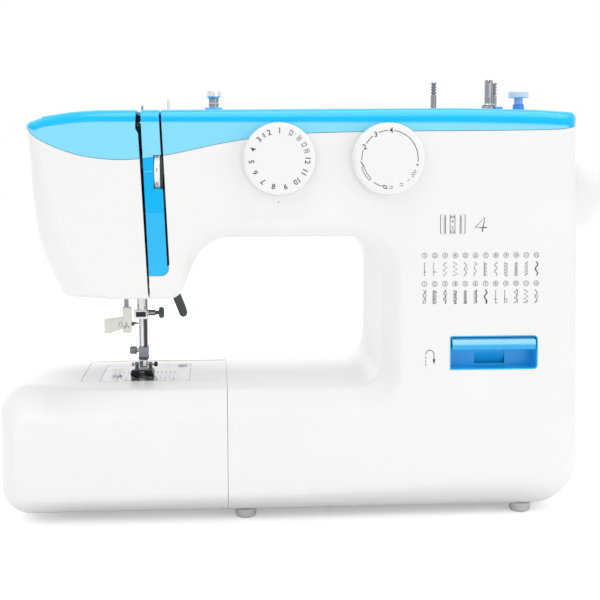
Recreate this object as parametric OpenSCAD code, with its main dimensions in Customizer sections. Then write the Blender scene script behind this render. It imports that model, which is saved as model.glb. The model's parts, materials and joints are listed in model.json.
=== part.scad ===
// Free-arm household sewing machine, built as its separate pieces.
// Millimetres. +Z is up, the operator sits at -Y, and +X runs from the needle end to the handwheel.
// The origin is on the table under the middle of the machine.

/* [Casing] */
// Height of the bed's top face above the table
bed_z = 90.3; // [86:0.1:96]
// Height of the throat between the bed and the arm
throat_h = 97.2; // [90:0.1:105]
// Height of the arm over the throat
arm_h = 83; // [80:0.5:90]
// How far the needle head hangs below the arm
head_drop = 38; // [32:0.5:42]
// Width of the throat between the head and the column
throat_w = 131.8; // [126:0.1:140]
// Width of the column from the throat to the right side
column_w = 134; // [130:0.5:140]
// Width of the needle head
head_w = 101; // [98:0.5:108]
// Place of the column's throat face
column_x = 51.2; // [48:0.1:54]
// Place of the seam between the casing and the extension table
seam_x = -52; // [-56:0.5:-48]
// Place of the base's front face
front_y = -65; // [-68:0.5:-62]
// Place of the base's rear face
rear_y = 67; // [65:0.5:70]
// Place of the arm's rear face
arm_rear_y = 48; // [46:0.5:52]
// How far the front leans back over its height
lean = 12; // [8:0.5:14]
// Thickness of the moulded walls
wall = 2.5; // [2:0.1:3]
// Height of the casing's underside, which is the feet's height
foot_h = 6; // [5:0.5:8]
// Place of the parting plane between the front and rear covers
part_y = 5; // [3:0.5:8]

/* [Bevel round the throat] */
// Depth at which the bevel starts, behind the front face
bevel_y = -48; // [-50:0.5:-45]
// Drop of the bevel on the bed
bevel_bed = 18; // [14:0.5:20]
// Width of the bevel on the column
bevel_column = 14.5; // [10:0.5:18]
// Rise of the bevel under the arm
bevel_arm = 15; // [10:0.5:18]

/* [Free arm and extension table] */
// Length of the extension table
table_l = 146.5; // [142:0.5:152]
// Place of the free arm's left end
free_arm_x = -149.5; // [-152:0.5:-147]
// Place of the free arm's front face
free_arm_front = -21.5; // [-23:0.5:-20]
// Place of the free arm's rear face
free_arm_rear = 60; // [57:0.5:62]
// Height of the free arm's underside
free_arm_z = 38; // [34:0.5:42]
// Gap between the table and what it slides past
slide_gap = 0.4; // [0.3:0.05:0.6]
// Height of the bobbin door
door_h = 34; // [30:0.5:38]
// Length of the bobbin door
door_l = 58; // [50:0.5:62]

/* [Needle and presser] */
// Place of the needle along the machine
needle_x = -110; // [-112:0.5:-108]
// Distance from the needle bar to the presser bar behind it
presser_back = 12; // [11:0.5:13]
// Radius of the needle bar
needle_bar_r = 3.1; // [2.9:0.05:3.3]
// Radius of the presser bar
presser_bar_r = 3.1; // [2.9:0.05:3.3]
// Gap from the raised needle's tip to the plate
needle_gap = 20.7; // [19:0.1:24]
// Length of the needle plate along the machine
plate_l = 60; // [58:0.5:62]
// Depth of the needle plate
plate_d = 64.5; // [60:0.5:66]
// Thickness of the needle plate
plate_t = 1.2; // [1:0.1:1.5]
// Radius of the hook's outer ring
hook_r = 15; // [14:0.1:15.5]

/* [Shafts, wheels and dials] */
// Height of the main shaft over the arm's underside
shaft_rise = 33; // [30:0.5:36]
// Radius of the main shaft
shaft_r = 4; // [3.5:0.1:4.5]
// Running clearance of every shaft and bar, on the radius
run = 0.05; // [0.03:0.01:0.08]
// Radius of the handwheel
handwheel_r = 28.5; // [26:0.5:31]
// Width of the handwheel
handwheel_w = 17; // [15:0.5:19]
// Radius of the two dials on the front
dial_r = 22.8; // [21:0.1:24]
// Place of the pattern dial along the machine
pattern_x = -18.5; // [-22:0.5:-15]
// Place of the stitch length dial along the machine
length_x = 50.8; // [48:0.5:54]
// Radius of the tension dial
tension_r = 14.5; // [13:0.5:15]
// Radius of the timing pulleys
pulley_r = 15; // [13:0.5:17]
// Thickness of both belts
belt_t = 1.8; // [1.5:0.1:2.2]

/* [Top fittings] */
// Height of the spool pins' tips over the arm's top
pin_rise = 21.5; // [18:0.5:30]
// Radius of the spool pins
pin_r = 2.1; // [1.8:0.1:2.5]
// Radius of the bobbin winder's spindle
spindle_r = 2.8; // [2.5:0.1:3]

/* [Hidden] */
$fn = 48;

// Derived places
body_right = column_x + column_w;
head_right = column_x - throat_w;
head_left = head_right - head_w;
table_left = seam_x - table_l;
arm_z = bed_z + throat_h;
top_z = arm_z + arm_h;
head_z = arm_z - head_drop;
shaft_z = arm_z + shaft_rise;
presser_y = presser_back;
needle_tip_z = bed_z + needle_gap;
plate_x = needle_x + 3;
plate_y = 11;
hook_z = bed_z - 25;
lower_y = 8;
lower_z = hook_z;
right_draft = 6;
bed_edge_r = 5;

// ---------------------------------------------------------------- outlines

function unit(v) = v / norm(v);

// Points of the round corner at q, between p and s
function fillet(p, q, s, r, n) =
    let (u = unit(p - q), v = unit(s - q), half = acos(u * v) / 2,
         c = q + unit(u + v) * r / sin(half),
         a = q + u * r / tan(half) - c, b = q + v * r / tan(half) - c,
         a0 = atan2(a[1], a[0]), turn = atan2(a[0] * b[1] - a[1] * b[0], a * b))
    [for (i = [0:n]) c + r * [cos(a0 + turn * i / n), sin(a0 + turn * i / n)]];

// A closed outline from corners [x, y, radius]; a radius of 0 is a sharp corner
function rounded(c, n = 5) = let (k = len(c))
    [for (i = [0:k - 1]) let (q = [c[i][0], c[i][1]])
        each (c[i][2] == 0 ? [q] : fillet([c[(i + k - 1) % k][0], c[(i + k - 1) % k][1]], q,
            [c[(i + 1) % k][0], c[(i + 1) % k][1]], c[i][2], n))];

// The outline moved inwards by d, with mitred corners; the points run anticlockwise
function inset(p, d) = let (k = len(p))
    [for (i = [0:k - 1]) let (a = unit(p[i] - p[(i + k - 1) % k]), b = unit(p[(i + 1) % k] - p[i]),
        m = [-a[1], a[0]], n = [-b[1], b[0]]) p[i] + (m + n) * d / (1 + m * n)];

function curve(a, b, c, n) =
    [for (i = [0:n]) let (t = i / n) [each (a * (1 - t) ^ 2 + b * 2 * t * (1 - t) + c * t ^ 2), 0]];

// Outline of a belt round two wheels on a vertical line: lower wheel r1 at z1, upper wheel r2 at z2
function belt_outline(y1, z1, r1, y2, z2, r2, n = 16) =
    let (d = [y2 - y1, z2 - z1], tilt = atan2(d[1], d[0]), lap = acos((r1 - r2) / norm(d)))
    concat([for (i = [0:n]) let (a = tilt + lap + (360 - 2 * lap) * i / n)
        [y1 + r1 * cos(a), z1 + r1 * sin(a)]],
        [for (i = [0:n]) let (a = tilt - lap + 2 * lap * i / n) [y2 + r2 * cos(a), z2 + r2 * sin(a)]]);

// The casing's top edge, which is slightly crowned
crown = [[head_left + 80, top_z - 1.4], [body_right - 85, top_z + 0.4], [body_right - 35, top_z - 0.6]];
function top_at(x) = lookup(x, crown);

// The casing seen from the front: column, arm, head, throat and the right half of the bed
casing_outline = rounded(concat(
    [[seam_x, foot_h, 0], [body_right + 0.3, foot_h, 26], [body_right - right_draft, top_z - 2.2, 7],
     each [for (i = [2:-1:0]) [each crown[i], 0]],
     [head_left + 42, top_z - 1.7, 0], [head_left + 15, top_z - 5, 0], [head_left, top_z - 8.6, 4]],
    curve([head_left + 0.1, top_z - 14], [head_left + 2, arm_z + 8], [head_left + 22.5, head_z + 8], 6),
    [[head_left + 26, head_z, 5], [head_right - 0.6, head_z, 5], [head_right + 9, arm_z, 16],
     [column_x, arm_z, 22], [column_x, bed_z, 16], [seam_x, bed_z, 0]]));

// Place of the front face, the arm's rear face and the right side at a height
function lean_at(z) = front_y + lean * (z - 20) / (top_z - 20);
function rear_at(z) = arm_rear_y + 2 - 4 * (z - bed_z - 26) / (top_z - bed_z - 25.4);
function side_at(z) = body_right + 0.3 - (right_draft + 0.3) * (z - foot_h) / (top_z - 2.2 - foot_h);

side_outline = rounded([[front_y + 7, foot_h, 0], [arm_rear_y + 10, foot_h, 0], [rear_y, 14, 6],
    [rear_y, bed_z + 8, 8], [arm_rear_y + 2, bed_z + 26, 12], [arm_rear_y - 2, top_z + 0.6, 12],
    [lean_at(top_z) + 0.4, top_z + 0.6, 9], [front_y, 20, 6]]);

plan_outline = rounded([[head_left - 0.6, lean_at(arm_z) - 1, 26], [body_right + 1, front_y - 1, 9],
    [body_right + 1, rear_y + 1, 12], [head_left + 20, rear_y + 1, 0], [head_left + 20, arm_rear_y + 1, 0],
    [head_left - 0.6, arm_rear_y + 1, 24]]);

table_outline = rounded([[table_left - 1.8, foot_h, 14], [seam_x - 0.3, foot_h, 0], [seam_x - 0.3, bed_z, 0],
    [table_left + 7.5, bed_z, bed_edge_r]]);
table_side = rounded([[front_y + 7, foot_h, 0], [rear_y - 7, foot_h, 0], [rear_y, 14, 6],
    [rear_y, bed_z, bed_edge_r], [bevel_y, bed_z, 0], [lean_at(bed_z - bevel_bed), bed_z - bevel_bed, 3],
    [front_y, 20, 6]]);
table_plan = rounded([[table_left - 0.1, front_y - 1, 30], [seam_x + 1, front_y - 1, 0],
    [seam_x + 1, rear_y + 1, 0], [table_left - 0.1, rear_y + 1, 36]]);

// Lower edge of the blue cover, which sweeps down over the head
top_edge = [[head_left - 5, top_z - 10], [head_left + 5, top_z - 14], [head_left + 12, top_z - 17.5],
    [head_left + 24, top_z - 23], [head_left + 37, top_z - 27.5], [head_left + 49.5, top_z - 30.4],
    [head_left + 62, top_z - 32], [head_left + 75, top_z - 32], [head_left + 92, top_z - 29.6],
    [head_left + 113, top_z - 24.7], [head_left + 145, top_z - 19], [head_left + 182, top_z - 15.6],
    [head_left + 218, top_z - 14.6], [body_right - 12, top_z - 13.5], [body_right, top_z - 8.5]];

// ---------------------------------------------------------------- solid makers

module prism_y(p, y0, y1) translate([0, y1, 0]) rotate([90, 0, 0]) linear_extrude(y1 - y0) polygon(p);
module prism_x(p, x0, x1) translate([x0, 0, 0]) rotate([90, 0, 90]) linear_extrude(x1 - x0) polygon(p);
module prism_z(p, z0, z1) translate([0, 0, z0]) linear_extrude(z1 - z0) polygon(p);
module rod_x(x0, x1, y, z, r) translate([x0, y, z]) rotate([0, 90, 0]) cylinder(h = x1 - x0, r = r);
module rod_y(y0, y1, x, z, r) translate([x, y1, z]) rotate([90, 0, 0]) cylinder(h = y1 - y0, r = r);
module rod_z(z0, z1, x, y, r) translate([x, y, z0]) cylinder(h = z1 - z0, r = r);
module block(lo, hi) translate(lo) cube(hi - lo);

// One ring of the bevel round the throat, grown by g times the bevel's width and by the wall d
function bevel_ring(g, d) = rounded([
    [column_x + g * bevel_column + d, arm_z + g * bevel_arm + d, 22],
    [head_right + 9 - d, arm_z + g * bevel_arm + d, 16], [head_right - 0.6 - d, head_z + 1, 0],
    [seam_x - 40, head_z, 0], [seam_x - 40, bed_z - g * bevel_bed - d, 0],
    [column_x + g * bevel_column + d, bed_z - g * bevel_bed - d, 16 + 10 * g]], 6);

// Solid that cuts the bevel: its section grows towards the front
module throat_bevel(d) {
    reach = 2;
    back = bevel_ring(0, d);
    fore = bevel_ring(reach, d);
    n = len(back);
    y0 = bevel_y + d;
    y1 = bevel_y - reach * (bevel_y - lean_at(bed_z - bevel_bed));
    mid = [(column_x + head_right) / 2, (bed_z + arm_z) / 2];
    points = concat([for (p = back) [p[0], y0, p[1]]], [for (p = fore) [p[0], y1, p[1]]],
        [[mid[0], y0, mid[1]], [mid[0], y1, mid[1]]]);
    faces = concat([for (i = [0:n - 1]) [i, n + i, (i + 1) % n]],
        [for (i = [0:n - 1]) [(i + 1) % n, n + i, n + (i + 1) % n]],
        [for (i = [0:n - 1]) [i, (i + 1) % n, 2 * n]],
        [for (i = [0:n - 1]) [n + (i + 1) % n, n + i, 2 * n + 1]]);
    polyhedron(points, faces);
}

module casing_solid(d) difference() {
    intersection() {
        prism_y(inset(casing_outline, d), front_y - 10, rear_y + 10);
        prism_x(inset(side_outline, d), table_left, body_right + 10);
        prism_z(inset(plan_outline, d), 0, top_z + 10);
    }
    throat_bevel(d);
}

module table_solid(d) intersection() {
    prism_y(inset(table_outline, d), front_y - 10, rear_y + 10);
    prism_x(inset(table_side, d), table_left - 1, seam_x);
    prism_z(inset(table_plan, d), 0, bed_z + 1);
}

// ---------------------------------------------------------------- cuts in the casing

top_region = concat(top_edge, [[body_right + 20, top_z - 8.5], [body_right + 20, top_z + 20],
    [head_left - 20, top_z + 20], [head_left - 20, top_z - 10]]);
slot_w = 2;
slot_high_x = needle_x + 3.7;
slot_low_x = needle_x + 9;
strip_low_z = arm_z - 23;
strip_w = 13.2;
mouth_z = top_z - 17;
mouth_rear_y = -6;
slot_rear_y = -10;

// Middle line of the take-up slot at a height
function slot_x(z) = slot_low_x + (slot_high_x - slot_low_x) * (z - head_z) / (top_z - 3 - head_z);

take_up_slot = [[slot_x(head_z - 5) - slot_w / 2, head_z - 5], [slot_x(head_z - 5) + slot_w / 2, head_z - 5],
    [slot_x(top_z + 5) + slot_w / 2, top_z + 5], [slot_x(top_z + 5) - slot_w / 2, top_z + 5]];
tension_slot = [for (p = take_up_slot) [p[0] + strip_w, max(p[1], strip_low_z)]];
face_region = [[head_left - 10, head_z - 10], [slot_x(head_z - 10), head_z - 10],
    [slot_x(top_z + 10), top_z + 10], [head_left - 10, top_z + 10]];
strip_region = rounded([[slot_x(strip_low_z), strip_low_z, 0],
    [slot_x(strip_low_z) + strip_w, strip_low_z, 5],
    [slot_x(top_z) + strip_w, top_z, 0], [slot_x(top_z), top_z, 0]]);

module slots() {
    prism_y(take_up_slot, front_y - 10, slot_rear_y);
    prism_y(tension_slot, front_y - 10, slot_rear_y - 8);
    block([slot_high_x - 3.8, front_y - 10, mouth_z], [slot_high_x + 3.8, mouth_rear_y, top_z + 10]);
}

module strip_zone() prism_y(strip_region, front_y - 10, lean_at(top_z) + 9);

// Dials, reverse lever and fittings
dial_z = shaft_z + 17.7;
dial_front = -67.3;
dial_rear = lean_at(dial_z - dial_r) - 0.5;
dial_shaft_r = 4;
boss_r = 7.5;
lever_x0 = body_right - 93.2;
lever_x1 = lever_x0 + 58;
lever_z0 = 102.2;
lever_z1 = 124.4;
lever_back = -46;
pivot_y = -18;
pivot_z = 117;
tension_y = -41.5;
tension_z = shaft_z + 9.5;
dial_w = 5.4;
window_h = 21.4;
tension_x = needle_x + 15.7;
disc_x = tension_x + dial_w / 2 + 1;
take_up_y = 8;
take_up_z = shaft_z - 2.5;
take_up_r = top_z - take_up_z + 8.5;
take_up_rest = 70;
take_up_bend = top_z - take_up_z - 4.5;
web_y0 = 20;
web_y1 = 27;
web_right = body_right - 27.2;
screw_r = 2;
screw_z = top_z - 38;
low_screw_z = 26;
screw_seat = rear_at(screw_z - 2 * screw_r);
cover_screws = [[head_right - 3.4, screw_seat, screw_z], [column_x - 11.2, screw_seat, screw_z],
    [body_right - 33.2, screw_seat, screw_z], [seam_x + 22, rear_y, low_screw_z],
    [body_right - 45.2, rear_y, low_screw_z]];
pin_y = 32;
pin_left_x = body_right - 88.9;
pin_right_x = body_right - 45.6;
spindle_x = body_right - 56.9;
stopper_x = spindle_x + 20.9;
guide_x = head_right + 21.3;
winder_travel = 3.6;
inlet_y = 32;
inlet_z = 50;
switch_z = 82;
rocker_r = 1.2;
lifter_y = 28;
lifter_t = 6;
lifter_x = needle_x + 16;
lifter_z = head_z + 13;
lifter_tilt = 20;
presser_x = needle_x + 0.8;
threader_x = needle_x - 9.5;
threader_y = -5;
threader_r = 1.6;
feet_x = [seam_x + 12, body_right - 38.2];
foot_r = 7;
feet_y = [-35, 45];
plate_edge = 16;
flange = 4;
hook_y = -6;
race_wall = 3.6;
lamp_x = needle_x - 30;
lifter_gap = 0.8;
lamp_y = 23.5;
lamp_r = 6.5;
lamp_bulb_r = 9;
lamp_z = [head_z + 8, head_z + 34, head_z + 48];
// ports in the underside of the head, low and high X and Y: needle bar, lamp and lifter
needle_port = [slot_high_x - 23, -14, lifter_x - 4];
lamp_port = [lamp_x - 12, -12, lamp_x + 14, 36];
lifter_port = [lifter_x - 4, head_right + 8];
motor_y = -27;
motor_z = 52;
motor_r = 25;
timing_x = [column_x + 14.8, column_x + 24.8];
drive_x = [body_right - 25.2, body_right - 17.2];
motor_x = [drive_x[0] - 64, drive_x[0] - 8];
motor_pulley_r = 7;
big_pulley_r = 24;
lug_w = 8;
main_lugs = [head_right + 6.6, timing_x[1] + 16, drive_x[0] - 10];
lower_lugs = [seam_x - 20, timing_x[1] + 10];
bush_r = 6;
lug_r = 10;
upper_lug_z = shaft_z + 11.5;
lower_lug_z = head_z + 8.5;
collar_z = head_z + 50.5;
stroke = 30;
crank_x = needle_x + 13;
crank_r = 17;
crank_pin_z = shaft_z + stroke / 2 - 2.5;
wheel_x = body_right - right_draft + 2.2;
shaft_end = body_right + 4;
base_top_z = foot_h + wall + 2;
base_x = [seam_x + 6, body_right - 31];
base_y = [front_y + plate_edge, rear_y - plate_edge];
base_gap = 0.2;
tray_z = [free_arm_z + wall + 0.5, free_arm_z + wall + 6];
wall_x = side_at(inlet_z);
inlet_seat = side_at(inlet_z - 11.5);
shaft_gap = 0.4;

module shell() difference() {
    casing_solid(0);
    casing_solid(wall);
    block([base_x[0], base_y[0], 0], [base_x[1], base_y[1], foot_h + wall + 1]);
    // window through which the free arm's works pass
    block([seam_x - 1, free_arm_front + 2 * wall, free_arm_z + wall],
        [seam_x + wall + 1, free_arm_rear - 2 * wall, bed_z - 2 * wall]);
}

module dial_holes(r) for (x = [pattern_x, length_x]) rod_y(front_y - 5, -36, x, dial_z, r);

module fitting_holes() {
    for (x = [pin_left_x, pin_right_x]) rod_z(top_z - 30, top_z + 5, x, pin_y, pin_r + 2 * run);
    block([spindle_x - spindle_r - 0.5, -3.4, top_z - 6],
        [spindle_x + winder_travel + spindle_r + 0.5, 3.4, top_z + 5]);
    for (x = [stopper_x, guide_x]) rod_z(top_z - 6, top_z + 5, x, 0, 2);
    for (s = cover_screws) rod_y(web_y1 - 1, s[1] + 5, s[0], s[2], screw_r);
    rod_x(body_right - 20, body_right + 9, 0, shaft_z, shaft_r + shaft_gap);
    block([needle_port[0], needle_port[1], head_z - 2], [needle_port[2], web_y1 + 1, head_z + wall + 2]);
    block([lamp_port[0], lamp_port[1], head_z - 2], [lamp_port[2], lamp_port[3], head_z + wall + 3]);
    block([lifter_port[0], lifter_y - lifter_gap, head_z - 2],
        [lifter_port[1], lifter_y + lifter_t + lifter_gap, head_z + 16]);
}

module front_cover() color("whitesmoke") difference() {
    union() {
        difference() {
            intersection() {
                shell();
                block([seam_x - 140, front_y - 5, 0], [body_right + 9, part_y, top_z + 5]);
            }
            prism_y(top_region, front_y - 10, part_y + 1);
            prism_y(face_region, front_y - 10, part_y + 1);
            strip_zone();
        }
        for (x = [pattern_x, length_x]) rod_y(lean_at(dial_z + boss_r) + 0.2, -40, x, dial_z, boss_r);
    }
    dial_holes(dial_shaft_r + run);
    slots();
    fitting_holes();
    block([lever_x0, front_y - 5, lever_z0], [lever_x1, lever_back - 2, lever_z1]);
}

module face_cover() color("whitesmoke") difference() {
    intersection() { shell(); prism_y(face_region, front_y - 10, part_y); }
    prism_y(top_region, front_y - 10, part_y + 1);
    slots();
    fitting_holes();
}

module top_cover() color("deepskyblue") difference() {
    union() {
        intersection() { shell(); prism_y(top_region, front_y - 10, rear_y); }
        intersection() { shell(); strip_zone(); }
        for (x = [pin_left_x, pin_right_x]) rod_z(top_z - 25, top_z - 1, x, pin_y, pin_r + 2.5);
    }
    dial_holes(9);
    slots();
    fitting_holes();
    block([tension_x - dial_w / 2 - 0.5, front_y - 5, tension_z - window_h / 2],
        [tension_x + dial_w / 2 + 0.5, tension_y, tension_z + window_h / 2]);
}

module rear_cover() color("whitesmoke") difference() {
    union() {
        difference() {
            intersection() {
                shell();
                block([head_left - 9, part_y, 0], [body_right + 9, rear_y + 5, top_z + 5]);
            }
            prism_y(top_region, part_y - 1, rear_y + 1);
        }
        for (s = cover_screws) rod_y(web_y1, s[1] - 1, s[0], s[2], screw_r + 3);
        for (y = [inlet_y - 12, inlet_y + 8.6])
            block([wall_x - 9, y, switch_z - 4], [wall_x - 2, y + 3.4, switch_z + 4]);
    }
    fitting_holes();
    block([wall_x - 15, inlet_y - 12, inlet_z - 10], [wall_x + 5, inlet_y + 12, inlet_z + 10]);
    block([wall_x - 15, inlet_y - 8.5, switch_z - 11], [wall_x + 5, inlet_y + 8.5, switch_z + 11]);
    rod_y(inlet_y - 11, inlet_y + 11, wall_x - 2.6, switch_z, rocker_r + 4 * run);
}

module base_plate() color("gainsboro") difference() {
    union() {
        block([base_x[0] + base_gap, base_y[0] + base_gap, foot_h],
            [base_x[1] - base_gap, base_y[1] - base_gap, foot_h + wall]);
        block([seam_x + wall, base_y[0] - flange, foot_h + wall],
            [base_x[1] + flange, base_y[1] + flange, base_top_z]);
    }
    for (x = feet_x, y = feet_y) rod_z(foot_h - 1, base_top_z + 1, x, y, 2.2);
}

module rubber_feet() color("lightgray")
    for (x = feet_x, y = feet_y) {
        translate([x, y, 0]) rotate_extrude() polygon([[0, 0], [foot_r - 1.5, 0], [foot_r, 1.5],
            [foot_r, foot_h], [2.2, foot_h], [2.2, base_top_z], [0, base_top_z]]);
    }

module casing_screws() color("silver") for (s = cover_screws) difference() {
    union() {
        rod_y(web_y0 + 1, s[1] + 0.2, s[0], s[2], screw_r);
        rod_y(s[1], s[1] + 1.8, s[0], s[2], 2 * screw_r);
    }
    block([s[0] - 2.6, s[1] + 1, s[2] - 0.5], [s[0] + 2.6, s[1] + 2, s[2] + 0.5]);
    block([s[0] - 0.5, s[1] + 1, s[2] - 2.6], [s[0] + 0.5, s[1] + 2, s[2] + 2.6]);
}

module reverse_bezel() color("dodgerblue") difference() {
    block([lever_x0, lean_at(lever_z0) - 0.3, lever_z0], [lever_x1, lever_back, lever_z1]);
    block([lever_x0 + 1.5, front_y - 5, lever_z0 + 1.5], [lever_x1 - 1.5, lever_back - 1.5, lever_z1 - 1.5]);
    block([(lever_x0 + lever_x1) / 2 - 10, lever_back - 2, lever_z0 + 2],
        [(lever_x0 + lever_x1) / 2 + 10, lever_back + 1, lever_z1 - 2]);
}

module reverse_lever() color("skyblue") difference() {
    union() {
        difference() {
            block([lever_x0 + 1.8, lean_at(lever_z1) - 2, lever_z1 - 9.5],
                [lever_x1 - 1.8, lever_back - 3, lever_z1 - 2]);
            block([lever_x0 + 3.5, lean_at(lever_z1) + 1, lever_z1 - 10],
                [lever_x1 - 3.5, lever_back - 4.5, lever_z1 - 4]);
        }
        block([(lever_x0 + lever_x1) / 2 - 8, lever_back - 4.5, pivot_z - 3],
            [(lever_x0 + lever_x1) / 2 + 8, pivot_y, pivot_z + 3]);
        rod_x((lever_x0 + lever_x1) / 2 - 8, (lever_x0 + lever_x1) / 2 + 8, pivot_y, pivot_z, 5);
    }
    rod_x(lever_x0, lever_x1, pivot_y, pivot_z, 2 + run);
}

module arm_frame() color("darkgray") difference() {
    union() {
        block([free_arm_x + 9, -10, tray_z[0]], [seam_x + 8, web_y1, tray_z[1]]);
        block([seam_x + 4, web_y0, base_top_z], [web_right, web_y1, tray_z[1]]);
        block([timing_x[1] + 6, web_y0, base_top_z], [web_right, web_y1, shaft_z + 29]);
        block([needle_x - 18, web_y0, arm_z + wall + 6], [web_right, web_y1, shaft_z + 29]);
        block([needle_x - 18, web_y0, head_z + 4.5], [lifter_x + 8, web_y1, shaft_z + 29]);
        for (x = main_lugs) block([x, -lug_r, shaft_z - lug_r], [x + lug_w, web_y0 + 1, shaft_z + lug_r]);
        block([lower_lugs[0], lower_y - lug_r, tray_z[0]],
            [lower_lugs[0] + lug_w, lower_y + lug_r, lower_z + lug_r]);
        block([lower_lugs[1], lower_y - bush_r - 2, lower_z - lug_r],
            [lower_lugs[1] + lug_w, web_y0 + 1, lower_z + lug_r]);
        block([needle_x - 12, -8, lower_lug_z], [needle_x + 8, web_y0 + 1, lower_lug_z + lug_w]);
        block([needle_x - 8, -8, upper_lug_z], [needle_x + 8, web_y0 + 1, upper_lug_z + lug_w]);
        block([needle_x - 8, 9, tray_z[0]], [needle_x + 8, 19, hook_z + 8]);
        block([needle_x - 18, take_up_y - 6, take_up_z - 6], [needle_x - 12.3, web_y0 + 1, take_up_z + 6]);
        rod_x(needle_x - 13, needle_x - 8.2, take_up_y, take_up_z, 3);
        block([disc_x + 4, tension_y - 5, tension_z - 4], [disc_x + 8, web_y0 + 1, tension_z + 5]);
        for (x = [(lever_x0 + lever_x1) / 2 - 13, (lever_x0 + lever_x1) / 2 + 9])
            block([x, pivot_y - 4, pivot_z - 5], [x + 4, web_y0 + 1, pivot_z + 5]);
        rod_x((lever_x0 + lever_x1) / 2 - 10, (lever_x0 + lever_x1) / 2 + 10, pivot_y, pivot_z, 2);
        rod_y(web_y1 - 1, lifter_y + lifter_t + 1, lifter_x, lifter_z, 3);
    }
    for (x = main_lugs) rod_x(x - 1, x + lug_w + 1, 0, shaft_z, bush_r);
    for (x = lower_lugs) rod_x(x - 1, x + lug_w + 1, lower_y, lower_z, bush_r);
    rod_z(head_z, top_z, needle_x, 0, needle_bar_r + run);
    rod_z(head_z, top_z, presser_x, presser_y, presser_bar_r + run);
    rod_z(head_z, top_z, threader_x, threader_y, threader_r + run);
    rod_y(8, 20, needle_x, hook_z, 3.5 + run);
    rod_x(disc_x + 3, disc_x + 9, tension_y, tension_z, 2);
    rod_y(web_y0 - 1, web_y1 + 1, cam_x, cam_z, 3 + run);
    for (s = cover_screws) rod_y(web_y0 - 1, web_y1 + 1, s[0], s[2], screw_r);
}
cam_x = 16;
cam_z = shaft_z + 23;
cam_r = 12;

free_arm_side = rounded([[free_arm_front, free_arm_z, 8], [free_arm_rear, free_arm_z, 8],
    [free_arm_rear, bed_z, 4], [free_arm_front, bed_z, 0]]);
free_arm_plan = rounded([[free_arm_x, free_arm_front, 5], [seam_x + 40, free_arm_front, 0],
    [seam_x + 40, free_arm_rear, 0], [free_arm_x, free_arm_rear, 14]]);
door_x = [needle_x - door_l / 2, needle_x + door_l / 2];
door_z = free_arm_z + 10.4;
hinge_y = free_arm_front + 1.6;
hinge_z = door_z + 1.6;
plate_outline = [plate_x - plate_l / 2, plate_y - plate_d / 2, plate_x + plate_l / 2, plate_y + plate_d / 2];
plate_screw_at = [[plate_x - 20, -2], [plate_x + 24, 36]];

module free_arm() color("whitesmoke") difference() {
    union() {
        difference() {
            intersection() {
                prism_x(free_arm_side, free_arm_x - 1, seam_x);
                prism_z(free_arm_plan, free_arm_z, bed_z);
            }
            intersection() {
                prism_x(inset(free_arm_side, wall), free_arm_x - 1, seam_x + 1);
                prism_z(inset(free_arm_plan, wall), free_arm_z, bed_z);
            }
            block([door_x[0], free_arm_front - 1, door_z - 0.8],
                [door_x[1], free_arm_front + wall + 0.5, door_z + door_h + slide_gap]);
        }
        for (x = [door_x[0] - 4, door_x[1]])
            block([x, free_arm_front + 1, hinge_z - 4], [x + 4, hinge_y + 3.5, hinge_z + 4]);
    }
    rod_x(door_x[0] - 2.5, door_x[1] + 2.5, hinge_y, hinge_z, 1.1 + run);
    block([plate_outline[0], plate_outline[1], bed_z - plate_t],
        [plate_outline[2], plate_outline[3], bed_z + 1]);
    block([needle_x - 14, -17, bed_z - wall - 1], [needle_x + 22, 28, bed_z + 1]);
    for (p = plate_screw_at) rod_z(bed_z - 8, bed_z + 1, p[0], p[1], 1.5);
}

module bobbin_door() color("whitesmoke") union() {
    block([door_x[0] + slide_gap, free_arm_front, door_z],
        [door_x[1] - slide_gap, free_arm_front + wall, door_z + door_h]);
    rod_x(door_x[0] - 2, door_x[1] + 2, hinge_y, hinge_z, 1.1);
}

module needle_plate() color("silver") difference() {
    block([plate_outline[0], plate_outline[1], bed_z - plate_t], [plate_outline[2], plate_outline[3], bed_z]);
    block([needle_x - 3.6, -1.2, bed_z - 3], [needle_x + 3.6, 1.2, bed_z + 1]);
    for (s = [-1, 1])
        block([needle_x + s * 5.6 - 1.6, -9.6, bed_z - 3], [needle_x + s * 5.6 + 1.6, 16.6, bed_z + 1]);
    for (p = plate_screw_at) rod_z(bed_z - 8, bed_z + 1, p[0], p[1], 1.5);
}

module plate_screws() color("gray") for (p = plate_screw_at) difference() {
    union() {
        rod_z(bed_z - 7, bed_z + 0.1, p[0], p[1], 1.5);
        rod_z(bed_z, bed_z + 0.8, p[0], p[1], 3.2);
    }
    block([p[0] - 4, p[1] - 0.4, bed_z + 0.3], [p[0] + 4, p[1] + 0.4, bed_z + 2]);
}

module feed_dog() color("dimgray") union() {
    for (s = [-1, 1]) difference() {
        block([needle_x + s * 5.6 - 1.2, -9, bed_z - 4.2], [needle_x + s * 5.6 + 1.2, 12.6, bed_z + 0.5]);
        for (i = [0:12]) translate([needle_x + s * 5.6, -8.6 + 1.65 * i, bed_z + 0.5]) rotate([45, 0, 0])
            cube([4, 0.8, 0.8], center = true);
    }
    block([needle_x - 6.8, 5, bed_z - 5.2], [needle_x + 6.8, 12.6, bed_z - 3.2]);
}

module shaft_bushings() color("goldenrod") {
    for (x = main_lugs) difference() {
        rod_x(x, x + lug_w, 0, shaft_z, bush_r);
        rod_x(x - 1, x + lug_w + 1, 0, shaft_z, shaft_r + run);
    }
    for (x = lower_lugs) difference() {
        rod_x(x, x + lug_w, lower_y, lower_z, bush_r);
        rod_x(x - 1, x + lug_w + 1, lower_y, lower_z, shaft_r + run);
    }
}

module main_shaft() color("silver") rod_x(crank_x - 0.5, shaft_end, 0, shaft_z, shaft_r);

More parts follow.
